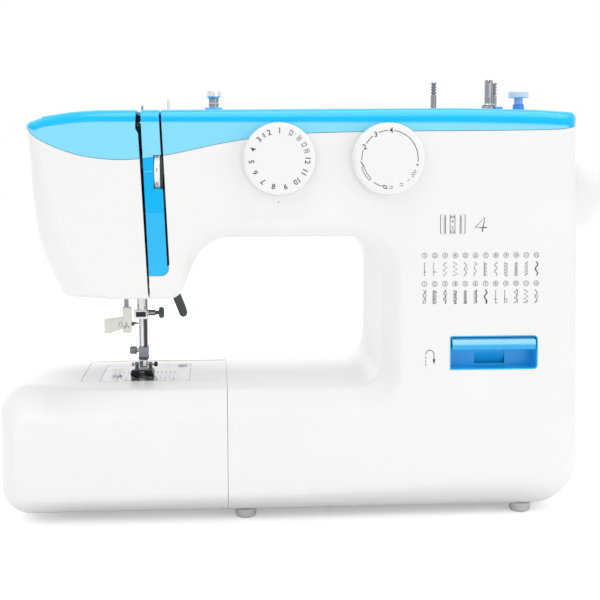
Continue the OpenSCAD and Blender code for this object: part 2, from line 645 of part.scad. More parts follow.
module handwheel() color("whitesmoke") translate([wheel_x, 0, shaft_z]) rotate([0, 90, 0])
    difference() {
        rotate_extrude($fn = 96) polygon(concat([[0, 0], [handwheel_r - 1, 0], [handwheel_r, 1]],
            [for (i = [0:5]) [handwheel_r - 3 + 3 * cos(18 * i), handwheel_w - 3 + 3 * sin(18 * i)]],
            [[handwheel_r - 8, handwheel_w], [handwheel_r - 9.5, handwheel_w - 1.5], [12, handwheel_w - 1.5],
             [11, handwheel_w], [0, handwheel_w]]));
        translate([0, 0, -1]) cylinder(h = shaft_end - wheel_x + 1, r = shaft_r);
    }

module pulley_at(x, y, z, r, bore) difference() {
    union() {
        rod_x(x[0], x[1], y, z, r);
        rod_x(x[0] - 1, x[0], y, z, r + 1.2);
        rod_x(x[1], x[1] + 1, y, z, r + 1.2);
    }
    rod_x(x[0] - 2, x[1] + 2, y, z, bore);
}

module drive_pulley() color("dimgray") {
    pulley_at(timing_x, 0, shaft_z, pulley_r, shaft_r);
    pulley_at(drive_x, 0, shaft_z, big_pulley_r, shaft_r);
}

module crank_disc() color("silver") difference() {
    union() {
        rod_x(crank_x, crank_x + 5, 0, shaft_z, crank_r);
        rod_x(crank_x + 5, crank_x + 9.5, 0, shaft_z, 2 * shaft_r);
    }
    rod_x(crank_x - 1, crank_x + 10, 0, shaft_z, shaft_r);
    rod_x(crank_x - 1, crank_x + 6, 0, crank_pin_z, 2);
}

module lower_shaft() color("silver")
    rod_x(needle_x + 21, lower_lugs[1] + lug_w + 3, lower_y, lower_z, shaft_r);
module lower_pulley() color("dimgray") pulley_at(timing_x, lower_y, lower_z, pulley_r, shaft_r);

module belt(x, y1, z1, r1, y2, z2, r2) difference() {
    prism_x(belt_outline(y1, z1, r1 + belt_t + 0.3, y2, z2, r2 + belt_t + 0.3), x[0] + 0.3, x[1] - 0.3);
    prism_x(belt_outline(y1, z1, r1 + 0.3, y2, z2, r2 + 0.3), x[0], x[1]);
}
module timing_belt() color("black") belt(timing_x, lower_y, lower_z, pulley_r, 0, shaft_z, pulley_r);
module motor_belt() color("black") belt(drive_x, motor_y, motor_z, motor_pulley_r, 0, shaft_z, big_pulley_r);

module motor() color("slategray") difference() {
    union() {
        rod_x(motor_x[0], motor_x[1], motor_y, motor_z, motor_r);
        block([motor_x[0] + 5, motor_y - 14, base_top_z], [motor_x[1] - 5, motor_y + 14, motor_z]);
    }
    rod_x(motor_x[1] - 12, motor_x[1] + 1, motor_y, motor_z, 2.5 + run);
}
module motor_pulley() color("dimgray") union() {
    rod_x(motor_x[1] - 11, drive_x[1] + 3, motor_y, motor_z, 2.5);
    rod_x(drive_x[0], drive_x[1], motor_y, motor_z, motor_pulley_r);
    rod_x(drive_x[0] - 1, drive_x[0], motor_y, motor_z, motor_pulley_r + 1.2);
    rod_x(drive_x[1], drive_x[1] + 1, motor_y, motor_z, motor_pulley_r + 1.2);
}

module cam_stack() color("ivory") union() {
    for (i = [0:5]) rod_y(-34 + 4 * i, -32 + 4 * i, cam_x, cam_z, cam_r - (i % 3));
    rod_y(-34, -12, cam_x, cam_z, 6);
    rod_y(-12, web_y1 - 1, cam_x, cam_z, 3);
}

module needle_bar() color("silver") rod_z(head_z - 15.5, shaft_z + 25, needle_x, 0, needle_bar_r);

module connecting_rod() color("silver") difference() {
    union() {
        rod_z(collar_z, collar_z + 8, needle_x, 0, 6.6);
        block([needle_x, -3.5, collar_z], [crank_x - 0.6, 3.5, collar_z + 8]);
        block([needle_x + 9, -3.5, collar_z], [crank_x - 0.6, 3.5, crank_pin_z]);
        rod_x(needle_x + 9, crank_x - 0.6, 0, crank_pin_z, 6.5);
    }
    rod_z(collar_z - 1, collar_z + 9, needle_x, 0, needle_bar_r);
    rod_x(needle_x + 8, crank_x, 0, crank_pin_z, 3);
}

clamp_z = head_z - 19.4;
module needle_clamp() color("silver") difference() {
    union() {
        rod_z(clamp_z, clamp_z + 6.2, needle_x, 0, 4.4);
        rod_x(needle_x, needle_x + 10, 0, clamp_z + 3.6, 2);
    }
    rod_z(head_z - 15.5, head_z, needle_x, 0, needle_bar_r);
    rod_z(clamp_z - 1, head_z, needle_x, 0, 1);
}
module clamp_screw() color("dimgray") translate([needle_x + 10, 0, clamp_z + 3.6]) rotate([0, 90, 0])
    rotate_extrude()
    polygon([[0, 0], [1.3, 0], [1.3, 2], [2.8, 2], [3.9, 2.6], [3.9, 5], [2.9, 5.8], [0, 5.8]]);
module needle() color("silver") translate([needle_x, 0, needle_tip_z]) rotate_extrude()
    polygon([[0, 0], [0.45, 3], [0.45, 12], [1, 14], [1, head_z - 15.5 - needle_tip_z],
        [0, head_z - 15.5 - needle_tip_z]]);

module presser_bar() color("silver") union() {
    rod_z(bed_z + 14, shaft_z + 25, presser_x, presser_y, presser_bar_r);
    rod_z(head_z + 31, head_z + 36, presser_x, presser_y, presser_bar_r + 1.4);
}
module presser_spring() color("gray") difference() {
    rod_z(head_z + 36, upper_lug_z, presser_x, presser_y, presser_bar_r + 1.4);
    rod_z(head_z + 35, upper_lug_z + 1, presser_x, presser_y, presser_bar_r + 0.3);
}

sole_z = bed_z + 0.8;
foot_pin_z = bed_z + 6.4;
foot_pin_y = 7.5;
module foot_holder() color("silver") difference() {
    union() {
        block([presser_x - 3.4, 6.2, bed_z + 9.6], [presser_x + 3.4, 16.5, bed_z + 18.5]);
        block([presser_x - 2.9, 5, bed_z + 4.4], [presser_x + 2.9, 11, bed_z + 9.6]);
    }
    rod_z(bed_z + 14, bed_z + 20, presser_x, presser_y, presser_bar_r);
    rod_x(presser_x - 5, presser_x + 5, foot_pin_y, foot_pin_z, 0.9);
}
module foot_screw() color("silver") translate([presser_x - 3.4, presser_y, bed_z + 15.6])
    rotate([0, -90, 0]) rotate_extrude()
    polygon([[0, 0], [1.4, 0], [1.4, 1], [2.6, 1], [2.6, 5.6], [1.6, 6.6], [0, 6.6]]);
module presser_foot() color("darkslategray") difference() {
    union() {
        prism_x([[13, sole_z], [-9, sole_z], [-17.5, sole_z + 4.6], [-16.8, sole_z + 6], [-8, sole_z + 2.2],
            [13, sole_z + 2.2]],
            presser_x - 7.8, presser_x + 7.8);
        for (s = [-1, 1]) block([presser_x + s * 4.7 - 1.3, foot_pin_y - 2.4, sole_z + 1],
            [presser_x + s * 4.7 + 1.3, foot_pin_y + 3, foot_pin_z + 1.6]);
        rod_x(presser_x - 7.4, presser_x + 7.4, foot_pin_y, foot_pin_z, 0.8);
    }
    block([needle_x - 3.4, -2.6, bed_z], [needle_x + 3.4, 2.6, bed_z + 8]);
    block([presser_x - 1.6, -20, bed_z], [presser_x + 1.6, -7, bed_z + 8]);
}

module head_plate() color("silver") difference() {
    union() {
        block([needle_x - 13, -9, head_z - 4.5], [needle_x + 8, 17, head_z - 2.5]);
        block([needle_x - 6, -7, head_z - 2.5], [needle_x + 6, 16, lower_lug_z]);
    }
    rod_z(head_z - 6, lower_lug_z + 1, needle_x, 0, needle_bar_r + 0.4);
    rod_z(head_z - 6, lower_lug_z + 1, presser_x, presser_y, presser_bar_r + 0.4);
    rod_z(head_z - 6, lower_lug_z + 1, threader_x, threader_y, threader_r + 0.3);
}

module presser_lifter() color("dimgray") translate([lifter_x, lifter_y, lifter_z])
    rotate([0, -lifter_tilt, 0]) difference() {
    union() {
        rod_y(0, lifter_t, 0, 0, 6);
        block([-2.7, 0, -31], [2.7, lifter_t, 0]);
        rod_y(0, lifter_t, 0, -31, 2.7);
    }
    rod_y(-1, lifter_t + 1, 0, 0, 3 + run);
}

module take_up_lever() color("silver") translate([0, take_up_y, take_up_z])
    rotate([-take_up_rest, 0, 0]) difference() {
    union() {
        rod_x(needle_x - 11.8, needle_x - 8.6, 0, 0, 6);
        block([needle_x - 11.8, -take_up_bend, -3], [needle_x - 9.8, 0, 3]);
        block([needle_x - 11.8, -take_up_bend, -3], [slot_high_x + 0.8, 3 - take_up_bend, 3]);
        block([slot_high_x - 0.8, -take_up_r, -2.6], [slot_high_x + 0.8, 3 - take_up_bend, 2.6]);
    }
    rod_x(needle_x - 20, needle_x, 0, 0, 3 + run);
    rod_x(slot_high_x - 2, slot_high_x + 2, -take_up_r + 3, 0, 1);
}

module tension_dial() color("whitesmoke") difference() {
    union() {
        rod_x(tension_x - dial_w / 2, tension_x + dial_w / 2 - 1.5, tension_y, tension_z, tension_r);
        rod_x(tension_x + dial_w / 2 - 1.5, tension_x + dial_w / 2, tension_y, tension_z, tension_r - 1);
    }
    rod_x(tension_x - 10, tension_x + 10, tension_y, tension_z, 2 + run);
}
module tension_discs() color("silver") {
    difference() {
        union() {
            rod_x(disc_x, disc_x + 0.8, tension_y, tension_z, 9);
            rod_x(disc_x + 1.4, disc_x + 2.2, tension_y, tension_z, 9);
        }
        rod_x(disc_x - 1, disc_x + 3, tension_y, tension_z, 2);
    }
    rod_x(tension_x - dial_w / 2 - 1, disc_x + 8, tension_y, tension_z, 2);
}

module dial(x) difference() {
    union() {
        translate([x, dial_rear, dial_z]) rotate([90, 0, 0]) rotate_extrude($fn = 96)
            polygon([[0, 0], [dial_r - 0.5, 0], [dial_r, 0.8], [dial_r - 0.6, dial_rear - dial_front - 1.4],
                [dial_r - 2, dial_rear - dial_front], [0, dial_rear - dial_front]]);
        rod_y(dial_rear, -34, x, dial_z, dial_shaft_r);
    }
    block([x - 1.2, dial_front - 1, dial_z + dial_r - 5.5], [x + 1.2, dial_front + 0.5, dial_z + dial_r + 1]);
}
module pattern_dial() color("whitesmoke") dial(pattern_x);
module stitch_length_dial() color("whitesmoke") dial(length_x);

module needle_threader() color("ivory") union() {
    rod_z(head_z - 12, head_z + 26, threader_x, threader_y, threader_r);
    block([threader_x - 2.6, threader_y - 3.5, head_z - 27],
        [threader_x + 3.4, threader_y + 2.2, head_z - 11]);
    block([threader_x - 15, threader_y - 3.5, head_z - 29],
        [threader_x - 2.5, threader_y - 1.5, head_z - 17.5]);
    block([threader_x + 3, threader_y - 2.6, head_z - 24],
        [threader_x + 8.4, threader_y - 1.6, head_z - 21.6]);
}

module hook_race() color("silver") difference() {
    union() {
        rod_y(hook_y - 1, hook_y + 11, needle_x, hook_z, hook_r + race_wall);
        block([needle_x - 9, hook_y - 1, tray_z[1]], [needle_x + 9, hook_y + 11, hook_z - hook_r]);
    }
    rod_y(hook_y - 2, hook_y + 12, needle_x, hook_z, hook_r + 0.1);
    block([needle_x - 5, hook_y - 2, hook_z + 10],
        [needle_x + 5, hook_y + 12, hook_z + hook_r + race_wall + 1]);
}
case_r = hook_r - 3;
module shuttle_hook() color("silver") difference() {
    union() {
        rod_y(hook_y, hook_y + 10.6, needle_x, hook_z, hook_r);
        rod_y(hook_y + 10, 22, needle_x, hook_z, 3.5);
    }
    rod_y(hook_y - 1, hook_y + 8.4, needle_x, hook_z, case_r + 0.2);
    block([needle_x - hook_r - 1, hook_y - 1, hook_z + 2], [needle_x - hook_r + 5, hook_y + 5, hook_z + 7]);
}
module bobbin_case() color("lightgray") difference() {
    union() {
        rod_y(hook_y - 3, hook_y + 8, needle_x, hook_z, case_r);
        block([needle_x - 8, hook_y - 4.5, hook_z - 2], [needle_x + 5, hook_y - 2.9, hook_z + 2]);
    }
    rod_y(hook_y - 2, hook_y + 9, needle_x, hook_z, case_r - 1);
}
module bobbin() color("aliceblue") difference() {
    union() {
        rod_y(hook_y - 1.8, hook_y - 0.9, needle_x, hook_z, case_r - 1.3);
        rod_y(hook_y + 6.9, hook_y + 7.8, needle_x, hook_z, case_r - 1.3);
        rod_y(hook_y - 1.8, hook_y + 7.8, needle_x, hook_z, 4.4);
    }
    rod_y(hook_y - 3, hook_y + 9, needle_x, hook_z, 3);
}

module ringed_pin(x) translate([x, pin_y, 0]) rotate_extrude() polygon(concat(
    [[0, top_z - 45], [pin_r, top_z - 45], [pin_r, top_z + pin_rise - 8]],
    [for (i = [0:2]) each [[pin_r, top_z + pin_rise - 7.4 + 2.4 * i],
        [pin_r - 0.8, top_z + pin_rise - 6.6 + 2.4 * i],
        [pin_r - 0.8, top_z + pin_rise - 6.2 + 2.4 * i], [pin_r, top_z + pin_rise - 5.4 + 2.4 * i]]],
    [[pin_r - 0.8, top_z + pin_rise], [0, top_z + pin_rise]]));
module spool_pin_left() color("silver") ringed_pin(pin_left_x);
module spool_pin_right() color("silver") ringed_pin(pin_right_x);

module winder_arm() color("lightskyblue") difference() {
    union() {
        block([spindle_x - 6, -5.5, top_at(spindle_x - 6) + 0.3], [spindle_x + 9, 5.5, top_z + 2.4]);
        rod_z(top_z - 9, top_z + 1, spindle_x, 0, spindle_r);
        block([spindle_x - 7, -6, top_z - 9], [spindle_x + 7, 6, top_z - 4.2]);
    }
    rod_z(top_z - 10, top_z + 3, spindle_x, 0, 1.5 + run);
}
module winder_spindle() color("silver") translate([spindle_x, 0, 0]) rotate_extrude()
    polygon([[0, top_z - 10], [1.5, top_z - 10], [1.5, top_z + 2.7], [4.9, top_z + 2.7], [4.9, top_z + 5],
        [spindle_r, top_z + 5.6], [spindle_r, top_z + pin_rise - 0.8], [spindle_r - 0.8, top_z + pin_rise],
            [0, top_z + pin_rise]]);
module bobbin_stopper() color("white") translate([stopper_x, 0, top_at(stopper_x - 7)]) rotate_extrude()
    polygon([[0, -5], [2, -5], [2, 0], [7, 0], [7, 1.3], [3.9, 1.8], [3.9, 5.5], [3.2, 5.5],
        [3.2, 9.9], [6.9, 9.9], [6.9, 14.2], [0, 14.2]]);
module pretension_guide() color("silver") translate([guide_x, 0, top_at(guide_x + 6.4)]) rotate_extrude()
    polygon([[0, -4], [2, -4], [2, 0], [6.4, 0], [6.4, 2.2], [3.4, 2.6], [3.4, 8.2], [4.9, 8.2],
        [4.9, 12.9], [0, 12.9]]);
module rear_thread_guide() color("silver") difference() {
    block([slot_high_x + 16.5, -20, top_at(slot_high_x + 18.3)], [slot_high_x + 18.3, -8, top_z + 6.5]);
    rod_x(slot_high_x + 15, slot_high_x + 20, -14, top_z + 3, 1.6);
}

module lamp() color("lightyellow") union() {
    rod_z(lamp_z[0], lamp_z[1], lamp_x, lamp_y, lamp_r);
    rod_z(lamp_z[1], lamp_z[2], lamp_x, lamp_y, lamp_bulb_r);
    block([lamp_x, lamp_y - lamp_r + 3, lamp_z[1] + 2], [needle_x - 18, lamp_y + lamp_r - 3, lamp_z[2] - 2]);
}

module power_inlet() color("black") difference() {
    union() {
        block([wall_x - 14, inlet_y - 12, inlet_z - 10], [inlet_seat, inlet_y + 12, inlet_z + 10]);
        block([inlet_seat, inlet_y - 13.5, inlet_z - 11.5],
            [inlet_seat + 1.2, inlet_y + 13.5, inlet_z + 11.5]);
    }
    difference() {
        block([wall_x - 11, inlet_y - 9, inlet_z - 7], [wall_x + 3, inlet_y + 9, inlet_z + 7]);
        for (y = [-5, 0, 5]) rod_x(wall_x - 12, wall_x - 1, inlet_y + y, inlet_z, 1.1);
    }
}
module power_switch() color("black") difference() {
    union() {
        prism_y([[wall_x - 6, switch_z - 8], [wall_x + 1.8, switch_z - 9.6], [wall_x, switch_z],
            [wall_x - 0.6, switch_z + 9.6],
            [wall_x - 6, switch_z + 8]], inlet_y - 8, inlet_y + 8);
        rod_y(inlet_y - 10.5, inlet_y + 10.5, wall_x - 2.6, switch_z, rocker_r);
    }
}

module extension_table() color("whitesmoke") difference() {
    table_solid(0);
    table_solid(wall);
    prism_x(inset(table_side, wall), seam_x - wall - 1, seam_x + 1);
    intersection() {
        prism_x(inset(free_arm_side, -slide_gap), free_arm_x - 5, seam_x + 5);
        prism_z(inset(free_arm_plan, -slide_gap), free_arm_z - 2, bed_z + 5);
    }
    block([free_arm_x + 20, free_arm_front - slide_gap, free_arm_z + 10],
        [seam_x + 1, free_arm_rear + slide_gap, bed_z + 1]);
}

// ---------------------------------------------------------------- pieces

front_cover();
rear_cover();
top_cover();
face_cover();
base_plate();
rubber_feet();
casing_screws();
reverse_bezel();
arm_frame();
free_arm();
needle_plate();
plate_screws();
shaft_bushings();
lamp();
power_inlet();
motor();
timing_belt();
motor_belt();
tension_discs();
rear_thread_guide();
pretension_guide();
bobbin_stopper();
presser_spring();
head_plate();
hook_race();
handwheel();
main_shaft();
drive_pulley();
crank_disc();
lower_shaft();
lower_pulley();
motor_pulley();
cam_stack();
needle_bar();
connecting_rod();
needle_clamp();
clamp_screw();
needle();
presser_bar();
foot_holder();
foot_screw();
presser_foot();
presser_lifter();
take_up_lever();
shuttle_hook();
bobbin_case();
bobbin();
feed_dog();
pattern_dial();
stitch_length_dial();
tension_dial();
reverse_lever();
needle_threader();
spool_pin_left();
spool_pin_right();
winder_arm();
winder_spindle();
power_switch();
extension_table();
bobbin_door();
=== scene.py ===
"""Looks of a free-arm household sewing machine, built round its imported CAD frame.

Lengths are written in millimetres in the part's own frame and turned into metres by MM.
+X runs from the needle end to the handwheel, -Y faces the operator, +Z is up.
"""
import json
from math import acos, atan2, cos, hypot, pi, radians, sin, tan

import bmesh
import bpy
import numpy as np
from mathutils import Matrix, Vector


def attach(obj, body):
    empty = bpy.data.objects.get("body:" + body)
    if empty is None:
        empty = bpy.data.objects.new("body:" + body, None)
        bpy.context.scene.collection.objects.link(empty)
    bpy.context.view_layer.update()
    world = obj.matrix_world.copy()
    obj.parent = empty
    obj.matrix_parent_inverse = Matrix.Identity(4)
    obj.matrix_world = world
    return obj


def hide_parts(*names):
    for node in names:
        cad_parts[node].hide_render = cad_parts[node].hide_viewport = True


MM = 0.001
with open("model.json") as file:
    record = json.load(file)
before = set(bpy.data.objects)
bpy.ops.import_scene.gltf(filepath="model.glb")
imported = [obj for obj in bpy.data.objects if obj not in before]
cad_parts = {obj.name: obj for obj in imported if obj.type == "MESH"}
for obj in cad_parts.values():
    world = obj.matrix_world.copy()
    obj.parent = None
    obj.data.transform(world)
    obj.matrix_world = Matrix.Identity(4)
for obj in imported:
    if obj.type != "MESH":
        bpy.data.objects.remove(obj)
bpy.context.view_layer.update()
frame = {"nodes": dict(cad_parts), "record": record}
scene = bpy.context.scene


# ------------------------------------------------------------------ sizes

BED_Z = 90.3
ARM_Z = 188.2
TOP_Z = 270.5
HEAD_Z = 149.5
SHAFT_Z = 220.5
FOOT_H = 6.0
FRONT_Y = -65.0
REAR_Y = 67.0
ARM_REAR_Y = 48.0
LEAN = 12.0
PART_Y = 5.0
WALL = 2.5
SEAM_X = -52.0
COLUMN_X = 48.5
NEEDLE_X = -110.0
PRESSER_X = -109.2
PRESSER_Y = 12.0
SEAM_GAP = 0.14
BASE_FRONT = -39.0
DIAL_XS, DIAL_Z = (-18.5, 50.8), 238.2
PIN_XS, PIN_Y = (96.3, 139.6), 32.0
WINDER_X = 128.3
STOPPER = (149.2, 269.95)
PRETENSION = (-59.3, 269.45)
CLAMP_Z = 130.1
LEVER_PIVOT = (-18, 117)
FOOT_PIN = (7.5, 96.7)


def face_y(z):
    """Place of the front face at a height."""
    return FRONT_Y + LEAN * (z - 20) / (TOP_Z - 20)


def rear_y(z):
    """Place of the rear face at a height: the base is deeper than the arm."""
    low, high = BED_Z + 8, BED_Z + 26
    arm = ARM_REAR_Y + 2 - 4 * (z - high) / (TOP_Z - high)
    if z <= low - 4:
        return REAR_Y
    t = min(1.0, (z - low + 4) / (high - low + 8))
    smooth = t * t * (3 - 2 * t)
    return REAR_Y + (min(arm, ARM_REAR_Y + 2) - REAR_Y) * smooth


# ------------------------------------------------------------------ mesh helpers

def new_object(name, mesh):
    obj = bpy.data.objects.new(name, mesh)
    scene.collection.objects.link(obj)
    return obj


def from_bmesh(name, bm):
    mesh = bpy.data.meshes.new(name)
    bm.to_mesh(mesh)
    bm.free()
    return new_object(name, mesh)


def closed(name, bm):
    bmesh.ops.recalc_face_normals(bm, faces=bm.faces)
    return from_bmesh(name, bm)


def apply_modifiers(obj):
    graph = bpy.context.evaluated_depsgraph_get()
    mesh = bpy.data.meshes.new_from_object(obj.evaluated_get(graph))
    obj.modifiers.clear()
    obj.data = mesh


def shade(obj, angle=32):
    """Smooth shading with sharp edges above an angle, and flat faces kept flat."""
    obj.data.shade_smooth()
    obj.data.set_sharp_from_angle(angle=radians(angle))
    weighted = obj.modifiers.new("normals", "WEIGHTED_NORMAL")
    weighted.keep_sharp = True
    return obj


def boolean(obj, tool, operation):
    modifier = obj.modifiers.new("cut", "BOOLEAN")
    modifier.object = tool
    modifier.operation = operation
    modifier.solver = "MANIFOLD"
    apply_modifiers(obj)
    bpy.data.objects.remove(tool)


def cut(obj, tool):
    boolean(obj, tool, "DIFFERENCE")


def clip(obj, tool):
    boolean(obj, tool, "INTERSECT")


def copy_of(obj, name):
    return new_object(name, obj.data.copy())


def join(name, parts):
    """One object from several, with their materials kept."""
    bm = bmesh.new()
    slots = []
    for part in parts:
        start = len(bm.faces)
        part_materials = list(part.data.materials)
        bm.from_mesh(part.data)
        bm.faces.ensure_lookup_table()
        for face in bm.faces[start:]:
            material = part_materials[face.material_index] if part_materials else None
            if material not in slots:
                slots.append(material)
            face.material_index = slots.index(material)
        bpy.data.objects.remove(part)
    obj = from_bmesh(name, bm)
    for material in slots:
        if material:
            obj.data.materials.append(material)
    return obj


def prism(name, points, axis, low, high):
    """Closed prism of an outline; axis is the letter it runs along."""
    bm = bmesh.new()
    place = {"x": lambda a, b, t: (t, a, b), "y": lambda a, b, t: (a, t, b), "z": lambda a, b, t: (a, b, t)}[axis]
    near = [bm.verts.new([v * MM for v in place(a, b, low)]) for a, b in points]
    far = [bm.verts.new([v * MM for v in place(a, b, high)]) for a, b in points]
    bm.faces.new(near)
    bm.faces.new(far[::-1])
    for i in range(len(points)):
        j = (i + 1) % len(points)
        bm.faces.new((near[i], near[j], far[j], far[i]))
    return closed(name, bm)


def loft(name, rings, merge=0.0):
    """Closed skin through rings of equally many points, in millimetres; points nearer than merge become one."""
    bm = bmesh.new()
    rows = [[bm.verts.new([v * MM for v in point]) for point in ring] for ring in rings]
    for a, b in zip(rows, rows[1:]):
        for k in range(len(a)):
            j = (k + 1) % len(a)
            bm.faces.new((a[k], a[j], b[j], b[k]))
    bm.faces.new(rows[0][::-1])
    bm.faces.new(rows[-1])
    if merge:
        bmesh.ops.remove_doubles(bm, verts=bm.verts, dist=merge * MM)
    return closed(name, bm)


def block(name, low, high, bevel=0.0, segments=2):
    points = [(low[0], low[1]), (high[0], low[1]), (high[0], high[1]), (low[0], high[1])]
    obj = prism(name, points, "z", low[2], high[2])
    return rounded_edges(obj, bevel, segments) if bevel else obj


def rounded_edges(obj, width, segments=3, angle=30):
    modifier = obj.modifiers.new("edges", "BEVEL")
    modifier.width = width * MM
    modifier.segments = segments
    modifier.limit_method = "ANGLE"
    modifier.angle_limit = radians(angle)
    modifier.use_clamp_overlap = True
    apply_modifiers(obj)
    return obj


def lathe(name, profile, centre, axis="z", steps=48):
    """Body of revolution: profile is [(radius, height)] from the foot up; axis x, y, z, or -y towards the operator."""
    bm = bmesh.new()
    rings = []
    for r, h in profile:
        if r < 1e-6:
            rings.append([bm.verts.new((0, 0, h * MM))])
        else:
            rings.append([bm.verts.new((r * MM * cos(2 * pi * k / steps), r * MM * sin(2 * pi * k / steps), h * MM))
                          for k in range(steps)])
    for a, b in zip(rings, rings[1:]):
        for k in range(steps):
            j = (k + 1) % steps
            if len(a) == 1 and len(b) == 1:
                continue
            if len(a) == 1:
                bm.faces.new((a[0], b[k], b[j]))
            elif len(b) == 1:
                bm.faces.new((a[k], a[j], b[0]))
            else:
                bm.faces.new((a[k], a[j], b[j], b[k]))
    for ring, flip in ((rings[0], True), (rings[-1], False)):
        if len(ring) > 1:
            bm.faces.new(ring[::-1] if flip else ring)
    turn = {"z": Matrix.Identity(4), "x": Matrix.Rotation(pi / 2, 4, "Y"),
            "y": Matrix.Rotation(-pi / 2, 4, "X"), "-y": Matrix.Rotation(pi / 2, 4, "X")}[axis]
    bm.transform(Matrix.Translation(Vector(centre) * MM) @ turn)
    return closed(name, bm)


def arc_points(cx, cy, r, start, end, steps):
    angles = [radians(start + (end - start) * k / steps) for k in range(steps + 1)]
    return [(cx + r * cos(a), cy + r * sin(a)) for a in angles]


def rod(name, axis, low, high, a, b, r, steps=32, edge=0.0):
    """Straight round rod along an axis between two places, with a chamfer at both ends."""
    centre = {"x": (low, a, b), "y": (a, low, b), "z": (a, b, low)}[axis]
    length = high - low
    profile = [(0, 0), (r - edge, 0), (r, edge), (r, length - edge), (r - edge, length), (0, length)]
    if not edge:
        profile = [(0, 0), (r, 0), (r, length), (0, length)]
    return lathe(name, profile, centre, axis, steps)


# ------------------------------------------------------------------ the casing's form

RING_STEPS = 10
SEGMENT = 7.0


def rim(w, b, s, w1=None, b1=None, s1=None):
    """Rim along an edge, at its start and its end: inset of the flat face, depth, and 0 round to 1 bevelled."""
    return (w, b, s, w if w1 is None else w1, b if b1 is None else b1, s if s1 is None else s1)


BACK = rim(5, 5, 0)
# Corners of the whole machine seen from the front, anticlockwise: x, z, radius, radius of the face's corner,
# then the front rim and the rear rim of the edge that follows
CORNERS = [
    (-200.3, FOOT_H, 24, 18, rim(15.3, 25, 1), rim(10, 34, 0.5, 8, 9, 1)),
    (-160, FOOT_H, 0, 0, rim(15.3, 26, 1, 16.2, 25, 1), rim(8, 9, 1)),
    (-6, FOOT_H, 0, 0, rim(16.2, 25, 1, 21.5, 26, 1), rim(8, 9, 1)),
    (100, FOOT_H, 0, 0, rim(21.5, 26, 1), rim(8, 9, 1)),
    (185.5, FOOT_H, 30, 26, rim(9, 26, 1, 7, 20, 1), rim(12, 12, 0)),
    (179.2, 268.3, 7, 6, rim(10, 11, 0.15, 10.5, 10, 0.15), rim(12, 12, 0)),
    (150.2, 269.9, 300, 300, rim(10.5, 10, 0.15), rim(12, 12, 0)),
    (100.2, 270.9, 600, 600, rim(10.5, 10, 0.15, 8.5, 10, 0.15), rim(12, 12, 0)),
    (-101.6, 269.1, 600, 600, rim(8.5, 10, 0.15, 8, 10, 0.15), rim(12, 12, 0)),
    (-139.6, 268.8, 300, 300, rim(8, 10, 0.15, 8, 15, 0.1), rim(12, 12, 0, 12, 16, 0)),
    (-166.6, 265.5, 10, 6, rim(8, 15, 0.1, 9, 26, 0), rim(12, 16, 0, 12, 24, 0)),
    (-180.1, 261.9, 4, 4, rim(9, 26, 0, 20, 26, 0), rim(9, 24, 0, 24, 24, 0)),
    (-174.2, 187, 190, 170, rim(20, 26, 0), rim(24, 24, 0)),
    (-156.8, HEAD_Z, 6, 4, rim(10, 26, 0, 4, 5, 0), rim(8, 24, 0, 5, 6, 0)),
    (-125, HEAD_Z, 0, 0, rim(4, 5, 0), BACK),
    (-82.5, HEAD_Z, 10, 8, rim(4, 5, 0.3, 9, 9, 1), BACK),
    (-65.5, ARM_Z, 25, 35, rim(9, 9, 1), BACK),
    (COLUMN_X, ARM_Z, 22, 32, rim(10.5, 10, 1, 10.5, 13, 1), BACK),
    (COLUMN_X, BED_Z, 16, 28, rim(17, 13, 1, 17, 9, 1), BACK),
    (-70, BED_Z, 0, 0, rim(17, 9, 1, 17, 11, 1), BACK),
    (-121, BED_Z, 0, 0, rim(17, 11, 1, 17, 17, 1), BACK),
    (-148, BED_Z, 0, 0, rim(17, 17, 1, 18, 32, 0.8), rim(5, 5, 0, 6, 16, 0)),
    (-170, BED_Z, 0, 0, rim(18, 32, 0.8, 17, 36, 0.6), rim(6, 16, 0, 8, 34, 0)),
    (-199.6, BED_Z, 18, 14, rim(12, 28, 0.5), rim(24, 34, 0)),
]


def unit2(v):
    return v / hypot(v[0], v[1])


def cross2(a, b):
    return a[0] * b[1] - a[1] * b[0]


def round_corner(before, here, after, radius, steps):
    """Points of the arc that rounds a corner, or the corner itself."""
    if steps == 0:
        return [here]
    u = unit2(before - here)
    v = unit2(after - here)
    half = acos(max(-1.0, min(1.0, float(u @ v)))) / 2
    limit = 0.48 * min(hypot(*(before - here)), hypot(*(after - here)))
    reach = min(radius / tan(half), limit)
    radius = reach * tan(half)
    centre = here + unit2(u + v) * radius / sin(half)
    a, b = here + u * reach - centre, here + v * reach - centre
    start = atan2(a[1], a[0])
    turn = atan2(cross2(a, b), float(a @ b))
    return [centre + radius * np.array([cos(start + turn * i / steps), sin(start + turn * i / steps)])
            for i in range(steps + 1)]


def offset_corners(places, offsets):
    """Corners of an outline with edge i moved inwards, by offsets[i][0] at its start and offsets[i][1] at its end."""
    count = len(places)
    lines = []
    for i in range(count):
        a, b = places[i], places[(i + 1) % count]
        d = unit2(b - a)
        inward = np.array([-d[1], d[0]])
        lines.append((a + inward * offsets[i][0], b + inward * offsets[i][1], inward))
    moved = []
    for i in range(count):
        a0, a1, inward = lines[i - 1]
        b0, b1, _ = lines[i]
        d, e = a1 - a0, b1 - b0
        turn = cross2(unit2(d), unit2(e))
        if abs(turn) < 0.02:
            moved.append((a1 + b0) / 2)
        else:
            moved.append(a0 + d * cross2(b0 - a0, e) / cross2(d, e))
    return moved


def outline_points(places, radii, steps, spacing):
    """Outline points: for each corner its arc, then the points along the edge that follows."""
    count = len(places)
    arcs = [round_corner(places[i - 1], places[i], places[(i + 1) % count], radii[i], steps[i]) for i in range(count)]
    points = []
    for i in range(count):
        points += arcs[i]
        start, end = arcs[i][-1], arcs[(i + 1) % count][0]
        points += [start + (end - start) * k / spacing[i] for k in range(1, spacing[i])]
    return np.array(points)


